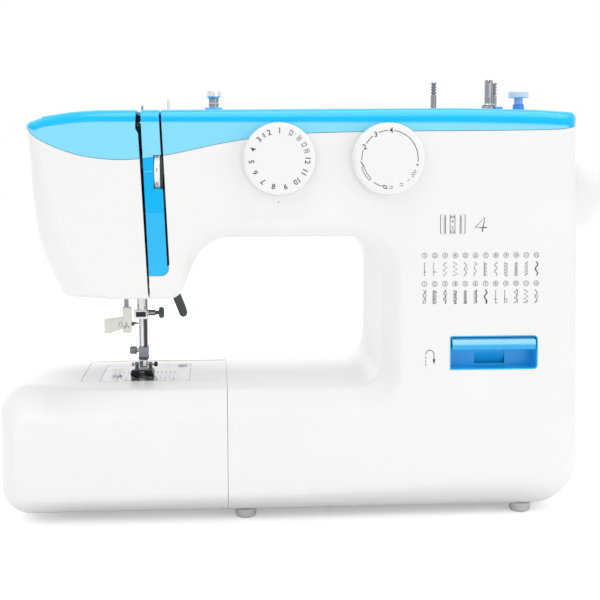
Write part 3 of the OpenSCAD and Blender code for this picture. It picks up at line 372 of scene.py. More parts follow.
def section(t, b, s):
    """Share of the inset and depth behind the face at t along a rim, from its outer edge to the flat face."""
    a0, d0 = 1 - cos(pi / 2 * t), b * (1 - sin(pi / 2 * t))
    if t < 0.3:
        u = t / 0.3
        a1 = 0.12 * u * u
        d1 = (1 - u) ** 2 * (b + 2.5) + 2 * u * (1 - u) * b + u * u * b * 0.85
    elif t < 0.7:
        u = (t - 0.3) / 0.4
        a1 = 0.12 + (0.64 - 0.12) * u
        d1 = b * (0.85 + (0.22 - 0.85) * u)
    else:
        u = (t - 0.7) / 0.3
        a1 = (1 - u) ** 2 * 0.64 + 2 * u * (1 - u) * 0.82 + u * u
        d1 = (1 - u) ** 2 * 0.22 * b
    return a0 + (a1 - a0) * s, d0 + (d1 - d0) * s


def between(a, b, share):
    return tuple(p + (q - p) * share for p, q in zip(a, b))


def half_form(outer, face, values, front, inner):
    """Front or rear half as a mesh in millimetres: rings from the outline to the flat face, and the face itself."""
    bm = bmesh.new()
    rings = []
    for j in range(RING_STEPS + 1):
        ring = []
        for p, q, (b, s) in zip(outer, face, values):
            share, depth = section(j / RING_STEPS, b, s)
            x, z = p + (q - p) * share
            ring.append(bm.verts.new((x, depth if front else -depth, z)))
        rings.append(ring)
    for a, b in zip(rings, rings[1:]):
        for i in range(len(a)):
            j = (i + 1) % len(a)
            bm.faces.new((a[i], a[j], b[j], b[i]) if front else (a[j], a[i], b[i], b[j]))
    bm.faces.new(rings[-1] if front else rings[-1][::-1])
    # cut lines where the rear face bends
    for z in [BED_Z + 4 + 3 * k for k in range(9)]:
        geometry = list(bm.verts) + list(bm.edges) + list(bm.faces)
        bmesh.ops.bisect_plane(bm, geom=geometry, plane_co=(0, 0, z), plane_no=(0, 0, 1), dist=1e-4)
    for v in bm.verts:
        v.co.y += (face_y(v.co.z) + inner) if front else (rear_y(v.co.z) - inner)
    mesh = bpy.data.meshes.new("half")
    bm.to_mesh(mesh)
    bm.free()
    return mesh


def machine_form(name, inner=0.0):
    """The machine's outer form as one closed solid, or the hollow inside it when inner is the wall's thickness."""
    places = [np.array(c[:2], float) for c in CORNERS]
    count = len(places)
    edges = [places[(i + 1) % count] - places[i] for i in range(count)]
    convex = [cross2(edges[i - 1], edges[i]) > 0 for i in range(count)]
    if inner:
        places = offset_corners(places, [(inner, inner)] * count)
    change = [(-inner if convex[i] else inner) for i in range(count)]
    steps = [0 if c[2] == 0 else 10 for c in CORNERS]
    spacing = [max(1, int(round(hypot(*e) / SEGMENT))) for e in edges]
    outer = outline_points(places, [max(c[2] + change[i], 0.8) for i, c in enumerate(CORNERS)], steps, spacing)
    sides = []
    for which in (4, 5):
        rims = [c[which] for c in CORNERS]
        offsets = [(r[0] * (1 + 0.22 * r[2]), r[3] * (1 + 0.22 * r[5])) for r in rims]
        face_places = offset_corners(places, offsets)
        face_radii = [max(c[3] if which == 4 else c[2] + (-0.5 if convex[i] else 0.5) * sum(offsets[i]), 2.0)
                      for i, c in enumerate(CORNERS)]
        face = outline_points(face_places, face_radii, steps, spacing)
        values = []
        for i in range(count):
            before, here = rims[i - 1], rims[i]
            for k in range(steps[i] + 1):
                values.append(between(before[4:], here[1:3], k / steps[i] if steps[i] else 1.0))
            values += [between(here[1:3], here[4:], k / spacing[i]) for k in range(1, spacing[i])]
        sides.append((face, values))

    bm = bmesh.new()
    for front, (face, values) in zip((True, False), sides):
        half = half_form(outer, face, values, front, inner)
        bm.from_mesh(half)
        bpy.data.meshes.remove(half)
    border = [e for e in bm.edges if e.is_boundary]
    grown = bmesh.ops.extrude_edge_only(bm, edges=border)["geom"]
    seam = [v for v in grown if isinstance(v, bmesh.types.BMVert)]
    for v in seam:
        v.co.y = PART_Y
    bmesh.ops.remove_doubles(bm, verts=seam, dist=0.003)
    bm.transform(Matrix.Scale(MM, 4))
    return closed(name, bm)


# ------------------------------------------------------------------ camera, light and floor

class Tree:
    """Node tree of a world or material, with short ways to add a node and to feed its inputs."""

    def __init__(self, owner):
        owner.use_nodes = True
        self.nodes, self.links = owner.node_tree.nodes, owner.node_tree.links

    def add(self, kind, inputs=None, **settings):
        node = self.nodes.new("ShaderNode" + kind)
        for name, value in settings.items():
            setattr(node, name, value)
        return self.feed(node, inputs or {})

    def feed(self, node, inputs):
        """A value goes on the input itself, and another node's output is linked to it."""
        for name, value in inputs.items():
            if isinstance(value, bpy.types.NodeSocket):
                self.links.new(value, node.inputs[name])
            else:
                node.inputs[name].default_value = value
        return node


def look_from():
    data = bpy.data.cameras.new("camera")
    data.lens = 70.2
    data.sensor_width = 36.0
    data.clip_end = 20
    camera = new_object("camera", data)
    camera.location = (-0.059, -0.800, 0.2375)
    camera.rotation_euler = (radians(83.176), 0, radians(-4.15))
    scene.camera = camera


def area_light(name, place, size, power):
    data = bpy.data.lights.new(name, "AREA")
    data.shape = "DISK"
    data.size = size
    data.energy = power
    lamp = new_object(name, data)
    lamp.location = place
    lamp.rotation_euler = (Vector((0, 0, 0.15)) - Vector(place)).to_track_quat("-Z", "Y").to_euler()


def light_studio():
    world = bpy.data.worlds.new("studio")
    scene.world = world
    tree = Tree(world)
    rays = tree.add("LightPath").outputs
    seen = tree.add("Math", {0: rays["Is Camera Ray"], 1: rays["Is Transmission Ray"]}, operation="MAXIMUM")
    seen = tree.add("Math", {0: seen.outputs[0], 1: rays["Is Glossy Ray"]}, operation="MAXIMUM")
    level = tree.add("MapRange", {"Value": seen.outputs[0], "To Min": 0.72, "To Max": 1.0})
    tree.feed(tree.nodes["Background"], {"Color": (1, 1, 1, 1), "Strength": level.outputs["Result"]})
    area_light("key", (-0.9, -1.5, 1.5), 1.4, 4.6)
    area_light("top", (0.2, 0.1, 1.6), 1.2, 11)
    area_light("fill", (1.4, -1.3, 0.6), 1.2, 3)
    area_light("rear", (-0.8, 1.3, 0.45), 1.0, 2.8)
    scene.view_settings.view_transform = "Standard"


def lay_floor():
    bm = bmesh.new()
    half = 6.0
    corners = ((-half, -half), (half, -half), (half, half), (-half, half))
    bm.faces.new([bm.verts.new((x, y, 0)) for x, y in corners])
    floor = from_bmesh("studio_floor", bm)
    paper = bpy.data.materials.new("studio_paper")
    tree = Tree(paper)
    shader = tree.feed(tree.nodes["Principled BSDF"],
                       {"Base Color": (0.97, 0.97, 0.97, 1), "Roughness": 0.9, "Specular IOR Level": 0.1})
    glow = tree.add("Emission", {"Strength": 0.36})
    both = tree.add("AddShader", {0: shader.outputs[0], 1: glow.outputs[0]})
    seen = tree.add("LightPath").outputs["Is Camera Ray"]
    mix = tree.add("MixShader", {0: seen, 1: shader.outputs[0], 2: both.outputs[0]})
    tree.feed(tree.nodes["Material Output"], {"Surface": mix.outputs[0]})
    floor.data.materials.append(paper)


# ------------------------------------------------------------------ materials

def srgb(*levels):
    shares = [level / 255 for level in levels]
    return tuple(c / 12.92 if c <= 0.04045 else ((c + 0.055) / 1.055) ** 2.4 for c in shares) + (1.0,)


def material(name, colour, rough=0.35, metal=0.0, grain=0.0, grain_size=1.0, vary=0.03, rough_vary=0.08,
             coat=0.0, ior=1.46, drift_size=30.0, stretch=(1, 1, 1)):
    """Finish whose colour and roughness drift over the surface, under a fine grain. Sizes are in millimetres."""
    made = bpy.data.materials.new(name)
    tree = Tree(made)
    place = tree.add("TexCoord").outputs["Object"]
    place = tree.add("Mapping", {"Vector": place, "Scale": stretch}).outputs[0]
    drift = tree.add("TexNoise", {"Vector": place, "Scale": 1000.0 / drift_size, "Detail": 3.0}).outputs["Fac"]
    ramp = tree.add("ValToRGB", {"Fac": drift})
    low, high = ramp.color_ramp.elements
    low.position, low.color = 0.35, tuple(c * (1 - vary) for c in colour[:3]) + (1.0,)
    high.position, high.color = 0.65, colour
    smooth = max(0.02, rough - rough_vary)
    spread = tree.add("MapRange", {"Value": drift, "To Min": smooth, "To Max": rough + rough_vary})
    shader = tree.feed(tree.nodes["Principled BSDF"], {
        "Metallic": metal, "IOR": ior, "Coat Weight": coat, "Coat Roughness": 0.08,
        "Base Color": ramp.outputs["Color"], "Roughness": spread.outputs["Result"]})
    if grain:
        fine = tree.add("TexNoise", {"Vector": place, "Scale": 1000.0 / grain_size, "Detail": 2.0})
        bump = tree.add("Bump", {"Height": fine.outputs["Fac"], "Strength": grain, "Distance": 0.0001})
        tree.feed(shader, {"Normal": bump.outputs["Normal"]})
    return made


def two_tones(made, low, high, below=None, above=None, source=("TexCoord", "Object")):
    """Blend two colours as the source's Z rises from low to high; the one not given is the material's own. It gives
    two-tone colours, and the blue cover's painted reflection.
    """
    tree = Tree(made)
    shader = tree.nodes["Principled BSDF"]
    own = shader.inputs["Base Color"].links[0].from_socket
    split = tree.add("SeparateXYZ", {0: tree.add(source[0]).outputs[source[1]]})
    up = tree.add("MapRange", {"Value": split.outputs["Z"], "From Min": low, "From Max": high},
                  interpolation_type="SMOOTHSTEP")
    mix = tree.add("Mix", {"Factor": up.outputs["Result"], "A": below or own, "B": above or own}, data_type="RGBA")
    tree.feed(shader, {"Base Color": mix.outputs["Result"]})
    return made


SHELL = material("shell_white", srgb(246, 246, 245), rough=0.36, rough_vary=0.03, vary=0.012, grain=0.06,
                 grain_size=0.8, drift_size=60)
# painted reflection: the blue cover is painted pale where its surface faces forward, in place of the light it reflects
# there, and saturated where it turns up towards the top
BLUE = two_tones(material("blue_cover_painted_reflection", srgb(0, 190, 252), rough=0.16, rough_vary=0.04, ior=1.33, grain=0.05,
                          grain_size=2),
                 0.07, 0.30, below=srgb(136, 224, 254), source=("NewGeometry", "Normal"))
BLUE_DARK = material("recess_blue", srgb(30, 192, 255), rough=0.3, coat=0.3, grain=0.04)
BLUE_LIGHT = material("lever_blue", srgb(98, 196, 244), rough=0.2, coat=0.4, grain=0.04)
DIAL_WHITE = material("dial_white", srgb(247, 247, 246), rough=0.32, vary=0.012, grain=0.05, grain_size=0.7)
CHROME = material("chrome", srgb(226, 227, 230), rough=0.09, metal=1.0, vary=0.05, rough_vary=0.03)
STEEL = material("ground_steel", srgb(190, 192, 196), rough=0.32, metal=1.0, grain=0.25, grain_size=0.4,
                 stretch=(0.05, 1, 1))
PLATE = material("plate_steel", srgb(224, 225, 229), rough=0.28, metal=0.85, grain=0.2, grain_size=0.5,
                 stretch=(0.04, 1, 1))
CAST = material("cast_alloy", srgb(150, 152, 155), rough=0.55, metal=0.9, grain=0.6, grain_size=1.2)
BLACK = material("black_nylon", srgb(22, 24, 27), rough=0.4, grain=0.15, grain_size=0.6, vary=0.2)
FOOT_DARK = material("foot_dark", srgb(60, 66, 70), rough=0.3, metal=0.7, grain=0.1)
GREY_DARK = material("lever_grey", srgb(72, 80, 84), rough=0.45, grain=0.2, grain_size=0.7)
BRONZE = material("sintered_bronze", srgb(176, 134, 84), rough=0.45, metal=1.0, grain=0.5, grain_size=0.5)
IVORY = material("ivory_nylon", srgb(236, 235, 228), rough=0.42, grain=0.08)
PALE_RUBBER = material("pale_rubber", srgb(205, 206, 206), rough=0.7, grain=0.3, grain_size=0.9)
BELT = material("belt_rubber", srgb(20, 20, 21), rough=0.75, grain=0.4, grain_size=0.8)
BASE = material("base_plastic", srgb(222, 222, 221), rough=0.55, grain=0.4, grain_size=1.5)
INK = material("print_ink", srgb(62, 62, 64), rough=0.6, vary=0.15)
PALE_LINE = material("print_pale_blue", srgb(150, 222, 250), rough=0.4, vary=0.05)
INK_PALE = material("print_ink_pale", srgb(120, 122, 126), rough=0.6, vary=0.1)


def striped_chrome():
    """Polished rod with painted reflections: the metal's colour is darker on the side that faces right and brighter in
    the middle and at the left, as bands of its surroundings reflected.
    """
    made = material("chrome_painted_reflections", srgb(235, 236, 238), rough=0.12, metal=1.0, rough_vary=0.03, vary=0.04)
    tree = Tree(made)
    split = tree.add("SeparateXYZ", {0: tree.add("NewGeometry").outputs["Normal"]})
    side = tree.add("MapRange", {"Value": split.outputs["X"], "From Min": -1.0, "From Max": 1.0})
    ramp = tree.add("ValToRGB", {"Fac": side.outputs["Result"]})
    points = ramp.color_ramp.elements
    for point, place in zip(points, (0.0, 1.0)):
        point.position, point.color = place, srgb(150, 150, 150)
    for place, value in ((0.12, 70), (0.22, 235), (0.45, 240), (0.56, 120), (0.66, 60), (0.86, 75), (0.95, 200)):
        points.new(place).color = srgb(value, value, value + 4)
    tree.feed(tree.nodes["Principled BSDF"], {"Base Color": ramp.outputs["Color"]})
    return made


CHROME_PAINTED_REFLECTIONS = striped_chrome()
# the reverse lever is pale on its top, and the strip between the slots is paler in its lower part
LEVER_TONES = two_tones(material("lever_tones", srgb(20, 176, 240), rough=0.18, coat=0.5, grain=0.03),
                        117.8 * MM, 119.6 * MM, above=srgb(150, 222, 250))
BLUE_STRIP = two_tones(material("strip_blue", srgb(52, 192, 250), rough=0.22, ior=1.3, grain=0.04),
                       204.1 * MM, 204.5 * MM, above=srgb(0, 184, 248))
# painted dark reflection: a darker copy of the chrome, whose colour stands in for the dark surroundings that polished
# parts reflect
CHROME_PAINTED_DARK = material("chrome_painted_dark_reflection", srgb(150, 152, 156), rough=0.14, metal=1.0, vary=0.12, rough_vary=0.04)
SATIN = material("satin_steel", srgb(150, 156, 158), rough=0.4, metal=0.9, grain=0.5, grain_size=0.5)
BLUE_MID = material("stopper_blue", srgb(74, 150, 232), rough=0.25, coat=0.3, grain=0.04)
PEARL = material("pearl_white", srgb(232, 236, 240), rough=0.3, vary=0.04, grain=0.05)
CLEAR_BLUE = material("clear_blue", srgb(150, 188, 230), rough=0.12, coat=0.6, vary=0.12, drift_size=6)
CLEAR_WHITE = material("clear_white", srgb(232, 232, 224), rough=0.2, coat=0.4, vary=0.05, drift_size=9)
BULB = material("bulb_glass", srgb(244, 240, 222), rough=0.15, coat=0.5, vary=0.04)


def dress(obj, body, slot, *materials):
    obj.data.materials.clear()
    for m in materials:
        obj.data.materials.append(m)
    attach(obj, body)
    return obj


# ------------------------------------------------------------------ joining the record

BODY_OF = {node: body for body, nodes in frame["record"]["behaviour"]["bodies"].items() for node in nodes}
SLOT_OF = {part["node"]: part["material_slot"] for part in frame["record"]["subparts"]}


def stand_for(obj, node, *finishes, angle=32):
    """A detailed piece takes the place of a CAD node."""
    shade(obj, angle)
    if finishes:
        dress(obj, BODY_OF[node], SLOT_OF[node], *finishes)
    else:
        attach(obj, BODY_OF[node])
    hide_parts(node)
    return obj


def assemble(node, pieces, angle=35):
    """Several painted pieces together take the place of a CAD node."""
    return stand_for(join(node + "_piece", pieces), node, angle=angle)


def painted(obj, finish):
    obj.data.materials.clear()
    obj.data.materials.append(finish)
    return obj


def bar(name, low, high, finish, bevel=0.2, segments=2):
    return painted(block(name, low, high, bevel, segments), finish)


def slab(name, points, axis, low, high, finish, edge=0.35, segments=2):
    return painted(rounded_edges(prism(name, points, axis, low, high), edge, segments), finish)


def spin(name, profile, centre, finish, axis="z", steps=48):
    return painted(lathe(name, profile, centre, axis, steps), finish)


def pole(name, axis, low, high, a, b, r, finish, steps=32, edge=0.2):
    return painted(rod(name, axis, low, high, a, b, r, steps, edge), finish)


def bore(pieces, *size):
    """The same round hole through several pieces."""
    for piece in pieces:
        cut(piece, rod("bore", *size))


def fluted(name, place, rows, steps, flute, merge=0.0):
    """Fluted grip along X; rows are distance, radius and depth of the flutes, whose share at a step is flute(k)."""
    x, y, z = place
    turns = [2 * pi * k / steps for k in range(steps)]
    rings = []
    for h, r, depth in rows:
        radii = [r - depth * flute(k) for k in range(steps)]
        rings.append([(x + h, y + rr * cos(a), z + rr * sin(a)) for a, rr in zip(turns, radii)])
    return loft(name, rings, merge)


def softened(node, finish, width=0.25, segments=2, angle=28):
    """Copy of a CAD node with its edges rounded."""
    bm = bmesh.new()
    bm.from_mesh(frame["nodes"][node].data)
    bmesh.ops.remove_doubles(bm, verts=bm.verts, dist=2e-6)
    bmesh.ops.dissolve_limit(bm, angle_limit=radians(1.0), verts=bm.verts, edges=bm.edges)
    obj = from_bmesh(node + "_piece", bm)
    rounded_edges(obj, width, segments, angle)
    return stand_for(obj, node, finish)


def refinish(finish, *nodes):
    """A better material on a CAD node that stays."""
    for node in nodes:
        obj = frame["nodes"][node]
        if not obj.material_slots:
            obj.data.materials.append(finish)
        for place in obj.material_slots:
            place.material = finish


# ------------------------------------------------------------------ the covers

# The blue cover's lower edge on the front, from the head's tip to the right side: x, z
BLUE_EDGE = [(-215, 278), (-192, 266), (-178, 258.2), (-172, 252.6), (-162, 246.9), (-149.8, 242.2), (-139.5, 239.6),
             (-126.2, 238.0), (-116.7, 237.7), (-105.5, 238.3), (-93, 240), (-80.6, 242.3), (-59.7, 246.9),
             (-37.3, 250.9), (-20, 252.9), (-1.3, 254.3), (36, 255.4), (70, 255.9), (98.5, 256.1), (128.4, 256.4),
             (158.3, 257.0), (168.5, 257.9), (177, 260.4), (187, 266)]
BLUE_GAP = 0.3
STRIP_W = 13.2
STRIP_LOW = 164.5
LEVER = (92.0, 150.0, 102.2, 124.4)
SCREWS = [(-84, 232.5), (40, 232.5), (152, 232.5), (-30, 26), (140, 26)]
INLET_Y, INLET_Z, SWITCH_Z = 32.0, 50.0, 82.0


def slot_x(z):
    """Middle line of the take-up slot."""
    return -101 - 5.3 * (z - HEAD_Z) / 118


def smooth_line(points, steps=4):
    """Catmull-Rom curve through the points."""
    out = []
    for i in range(len(points) - 1):
        p0, p1, p2, p3 = (np.array(points[max(0, min(len(points) - 1, k))], float) for k in (i - 1, i, i + 1, i + 2))
        for k in range(steps):
            t = k / steps
            out.append(tuple(0.5 * (2 * p1 + (p2 - p0) * t + (2 * p0 - 5 * p1 + 4 * p2 - p3) * t * t
                                    + (3 * p1 - p0 - 3 * p2 + p3) * t ** 3)))
    return out + [tuple(points[-1])]


def blue_region(shift):
    line = [(x, z + shift) for x, z in smooth_line(BLUE_EDGE)]
    return prism("blue_region", line + [(260, 320), (-260, 320)], "y", -120, 120)


def strip_outline(grow):
    """Blue strip between the two slots, with a rounded lower right corner."""
    low, right = STRIP_LOW - grow, STRIP_W + grow
    corner = arc_points(slot_x(low) + right - 5, low + 5, 5, -90, 0, 6)
    return [(slot_x(low) + 0.2, low)] + corner + [(slot_x(246) + right, 246), (slot_x(246) + 0.2, 246)]


def lever_outline(inset=0.0):
    """Outline of the recess for the reverse lever, rounded at its right side."""
    x0, x1, z0, z1 = LEVER[0] + inset, LEVER[1] - inset, LEVER[2] + inset, LEVER[3] - inset
    r = 2.6 - inset
    right = arc_points(x1 - r, z0 + r, r, -90, 0, 6) + arc_points(x1 - r, z1 - r, r, 0, 90, 6)
    return [(x0, z0)] + right + [(x0 + 0.8, z1), (x0, z1 - 0.8)]


def cutters():
    """Tools for the openings in the casing."""
    low, high = 142.0, 276.0
    tools = [
        prism("slot", [(slot_x(low) - 0.6, low), (slot_x(low) + 0.6, low),
                       (slot_x(high) + 1.15, high), (slot_x(high) - 1.15, high)], "y", -90, -11),
        prism("tension_slot", [(slot_x(170) + STRIP_W - 0.75, 170.5), (slot_x(170) + STRIP_W + 0.7, 171.5),
                               (slot_x(high) + STRIP_W + 0.75, high), (slot_x(high) + STRIP_W - 0.75, high)],
              "y", -90, -19),
        prism("mouth", [(-108.2, 290), (-108.5, 257), (-106.6, 253.8), (slot_x(253) + 1.1, 252.5),
                        (slot_x(290) + 1.2, 290)], "y", -90, -7),
        block("window", (-97.4, -90, 219.4), (-91.2, -41.6, 240.6)),
        prism("recess", lever_outline(), "y", -90, -47),
        block("head_opening", (-133, -14, 146), (-98.2, 28, 152.6)),
        block("lamp_opening", (-152, -12, 146), (-126, 36, 152.6)),
        block("lifter_opening", (-98, 27.2, 146), (-72, 34.8, 165.5)),
        block("base_opening", (-46, BASE_FRONT - 0.2, -5), (154.2, 51, 9)),
        block("end_window", (SEAM_X - 3, -16.5, 40.5), (SEAM_X + 4, 55, 85.3)),
        block("winder_slot", (125, -3.4, 262), (135.2, 3.4, 280)),
        rod("shaft_hole", "x", 165, 195, 0, SHAFT_Z, 4.4),
        block("inlet_hole", (168, INLET_Y - 12, INLET_Z - 10), (195, INLET_Y + 12, INLET_Z + 10)),
        block("switch_hole", (168, INLET_Y - 8.5, SWITCH_Z - 11), (195, INLET_Y + 8.5, SWITCH_Z + 11)),
    ]
    tools += [rod("pin_hole", "z", 240, 280, x, PIN_Y, 2.25) for x in PIN_XS]
    tools += [rod("dial_hole", "y", -80, -40, x, DIAL_Z, 4.3) for x in DIAL_XS]
    return tools + [rod("screw_hole", "y", 30, 80, x, z, 2.0) for x, z in SCREWS]


def make_covers():
    outer = machine_form("outer")
    hollow = machine_form("hollow", WALL)

    def beside_table(edge):
        return prism("region", [(edge, -20), (300, -20), (300, 300), (-300, 300), (-300, 100), (edge, 100)],
                     "y", -200, 200)

    # the casing's own hollow stops at its end wall by the table, and leaves the head's upper corner solid
    inside = copy_of(hollow, "inside")
    clip(inside, beside_table(SEAM_X + WALL))
    cut(inside, block("head_corner", (-220, -90, 244), (-166, 70, 300)))
    casing = copy_of(outer, "casing")
    clip(casing, beside_table(SEAM_X + SEAM_GAP))
    cut(casing, inside)
    for tool in cutters():
        cut(casing, tool)

    # the blue cover takes the top and the strip between the slots
    strip = prism("strip_region", strip_outline(-0.1), "y", -90, -43)
    blue = copy_of(casing, "top_cover_piece")
    clip(blue, blue_region(BLUE_GAP / 2))
    band = copy_of(casing, "thread_strip")
    clip(band, strip)
    cut(band, blue_region(0.0))
    cut(casing, blue_region(-BLUE_GAP / 2))
    cut(casing, prism("strip_room", strip_outline(0.1), "y", -90, -43))

    front = copy_of(casing, "front_cover_piece")
    rear = copy_of(casing, "rear_cover_piece")
    face = copy_of(casing, "face_cover_piece")
    half = SEAM_GAP / 2
    clip(rear, block("rear_half", (-260, PART_Y + half, -20), (260, 120, 320)))
    right = prism("right_part", [(slot_x(100), -20), (260, -20), (260, 320), (slot_x(320), 320), (slot_x(100), 100)],
                  "y", -120, PART_Y - half)
    left = prism("left_part", [(-260, -20), (slot_x(100), -20), (slot_x(100), 100), (slot_x(320), 320), (-260, 320)],
                 "y", -120, PART_Y - half)
    clip(front, right)
    clip(face, left)
    bpy.data.objects.remove(casing)
    for piece, node in ((front, "front_cover"), (rear, "rear_cover"), (face, "face_cover")):
        stand_for(piece, node, SHELL)
    stand_for(blue, "top_cover", BLUE)
    shade(band)
    dress(band, "machine", "blue_cover", BLUE_STRIP)
    make_table(outer, hollow)


def free_arm_room(grow):
    """Room for the free arm in the table, larger than the arm by a clearance."""
    end_y, r = -21.5 - grow, 8 + grow
    side = [(end_y, 90.3 + grow), (end_y, 46)] + arc_points(-13.5, 46, r, 190, 270, 8)
    side += arc_points(52, 46, r, 270, 360, 9) + [(60 + grow, 86.3), (58.8 + grow, 89.1 + grow), (56, 90.3 + grow)]
    room = prism("arm_room", side[::-1], "x", -151, SEAM_X + 4 * grow)
    plan = arc_points(-144.5, -16.5, 5 + grow, 180, 270, 9) + [(0, end_y), (0, 60 + grow)]
    plan += arc_points(-135.5, 46, 14 + grow, 90, 180, 9)
    clip(room, prism("plan", plan, "z", 20, 120))
    return room


def make_table(outer, hollow):
    edge = SEAM_X - SEAM_GAP
    table = copy_of(outer, "extension_table_piece")
    clip(table, block("left_side", (-260, -120, -20), (edge, 120, 100)))
    room = copy_of(hollow, "room")
    clip(room, block("room_side", (-260, -120, -20), (-53, 120, 96)))
    cut(table, room)
    cut(table, free_arm_room(0.4))
    cut(table, block("arm_hall", (-129.5, -21.9, 48), (SEAM_X + 2, 60.4, 93)))
    stand_for(table, "extension_table", SHELL)
    bpy.data.objects.remove(outer)
    bpy.data.objects.remove(hollow)


# ------------------------------------------------------------------ prints

NUMBERS = {}


def number_faces(body):
    """Flat outline of a number at a height of 1, about its middle."""
    if body not in NUMBERS:
        curve = bpy.data.curves.new("number", "FONT")
        curve.body = body
        curve.size = 1.0
        curve.resolution_u = 3
        curve.offset = 0.012
        obj = new_object("number", curve)
        mesh = bpy.data.meshes.new_from_object(obj.evaluated_get(bpy.context.evaluated_depsgraph_get()))
        points = [(v.co.x, v.co.y) for v in mesh.vertices]
        xs, ys = [p[0] for p in points], [p[1] for p in points]
        mid, low, tall = (min(xs) + max(xs)) / 2, (min(ys) + max(ys)) / 2, max(ys) - min(ys)
        NUMBERS[body] = ([((x - mid) / tall, (y - low) / tall) for x, y in points],
                         [tuple(p.vertices) for p in mesh.polygons])
        bpy.data.objects.remove(obj)
    return NUMBERS[body]


class Print:
    """Thin printed marks on a surface; place(u, v) gives the point in millimetres."""

    def __init__(self, place):
        self.bm = bmesh.new()
        self.place = place

    def polygon(self, points):
        self.bm.faces.new([self.bm.verts.new([c * MM for c in self.place(u, v)]) for u, v in points])

    def stroke(self, points, width, closed=False):
        count = len(points)
        left, right = [], []
        for i, p in enumerate(points):
            a = points[i - 1] if (i or closed) else p
            b = points[(i + 1) % count] if (i < count - 1 or closed) else p
            d = unit2(np.array(b, float) - np.array(a, float))
            side = np.array([-d[1], d[0]]) * width / 2
            left.append(np.array(p, float) + side)
            right.append(np.array(p, float) - side)
        for i in range(count if closed else count - 1):
            j = (i + 1) % count
            self.polygon([right[i], right[j], left[j], left[i]])

    def arc(self, u, v, r, start, end, width, steps=24):
        self.stroke(arc_points(u, v, r, start, end, steps), width)

    def ring(self, u, v, r, width, steps=20):
        self.stroke(arc_points(u, v, r, 0, 360, steps)[:-1], width, True)

    def number(self, body, u, v, height, turn=0.0):
        points, faces = number_faces(body)
        c, s = cos(radians(turn)) * height, sin(radians(turn)) * height
        places = [self.place(u + x * c - y * s, v + x * s + y * c) for x, y in points]
        verts = [self.bm.verts.new([q * MM for q in place]) for place in places]
        for face in faces:
            self.bm.faces.new([verts[k] for k in face])

    def finish(self, name, body, slot, ink):
        return dress(from_bmesh(name, self.bm), body, slot, ink)


def zigzag(width, rise, low, high):
    points, z, side = [], low, -1
    while z < high + 0.01:
        points.append((side * width / 2, z))
        z += rise
        side = -side
    return points


def stitches(low, high):
    """Strokes of twelve generic stitch symbols, about u = 0."""
    def at(share):
        return low + (high - low) * share

    def dashes(u):
        return [[(u, at((k + 0.12) / 5)), (u, at((k + 0.88) / 5))] for k in range(5)]

    def wave(wide, turn, steps, shift=0.0):
        return [(wide * sin(k * turn) + shift, at(k / steps)) for k in range(steps + 1)]

    rise = high - low
    return [
        dashes(0) + [[(-0.9, at(0.3)), (0.9, at(0.3))]],
        dashes(-0.7) + [[(-1.2, at(0.3)), (0.9, at(0.3))]],
        [zigzag(2.4, rise / 5, low, high)],
        [zigzag(2.9, rise / 6, low, high)],
        [[(0.9 * (1 - abs((k % 8) - 4) / 2.0), at(k / 16)) for k in range(17)], dashes(1.1)[2]],
        [[(-0.8, low), (-0.8, at(0.2)), (0.9, at(0.35)), (-0.8, at(0.5)), (-0.8, at(0.7)), (0.9, at(0.85)),
          (-0.8, high)]],
        [[(-1.0, at(k / 4)), (0.9, at((k + 0.35) / 4)), (-0.6, at((k + 0.7) / 4))] for k in range(4)]
        + [[(-1.0, low), (-1.0, high)]],
        [wave(0.9, 0.9, 16)],
        [[(-0.9, at(k / 4)), (0.9, at(k / 4)), (0.9, at((k + 0.5) / 4)), (-0.9, at((k + 0.5) / 4)),
          (-0.9, at((k + 1) / 4))] for k in range(4)],
        [[(-1.1 + 0.5 * (k % 2), at(k / 12)), (1.1 - 0.5 * (k % 2), at((k + 0.4) / 12))] for k in range(12)],
        [[(-1.1, at(k / 5)), (1.1, at((k + 0.9) / 5)), (0.2, at((k + 0.9) / 5))] for k in range(5)],
        [wave(0.8, 0.7, 14, 0.3), wave(0.8, 0.7, 14, -0.1)],
    ]


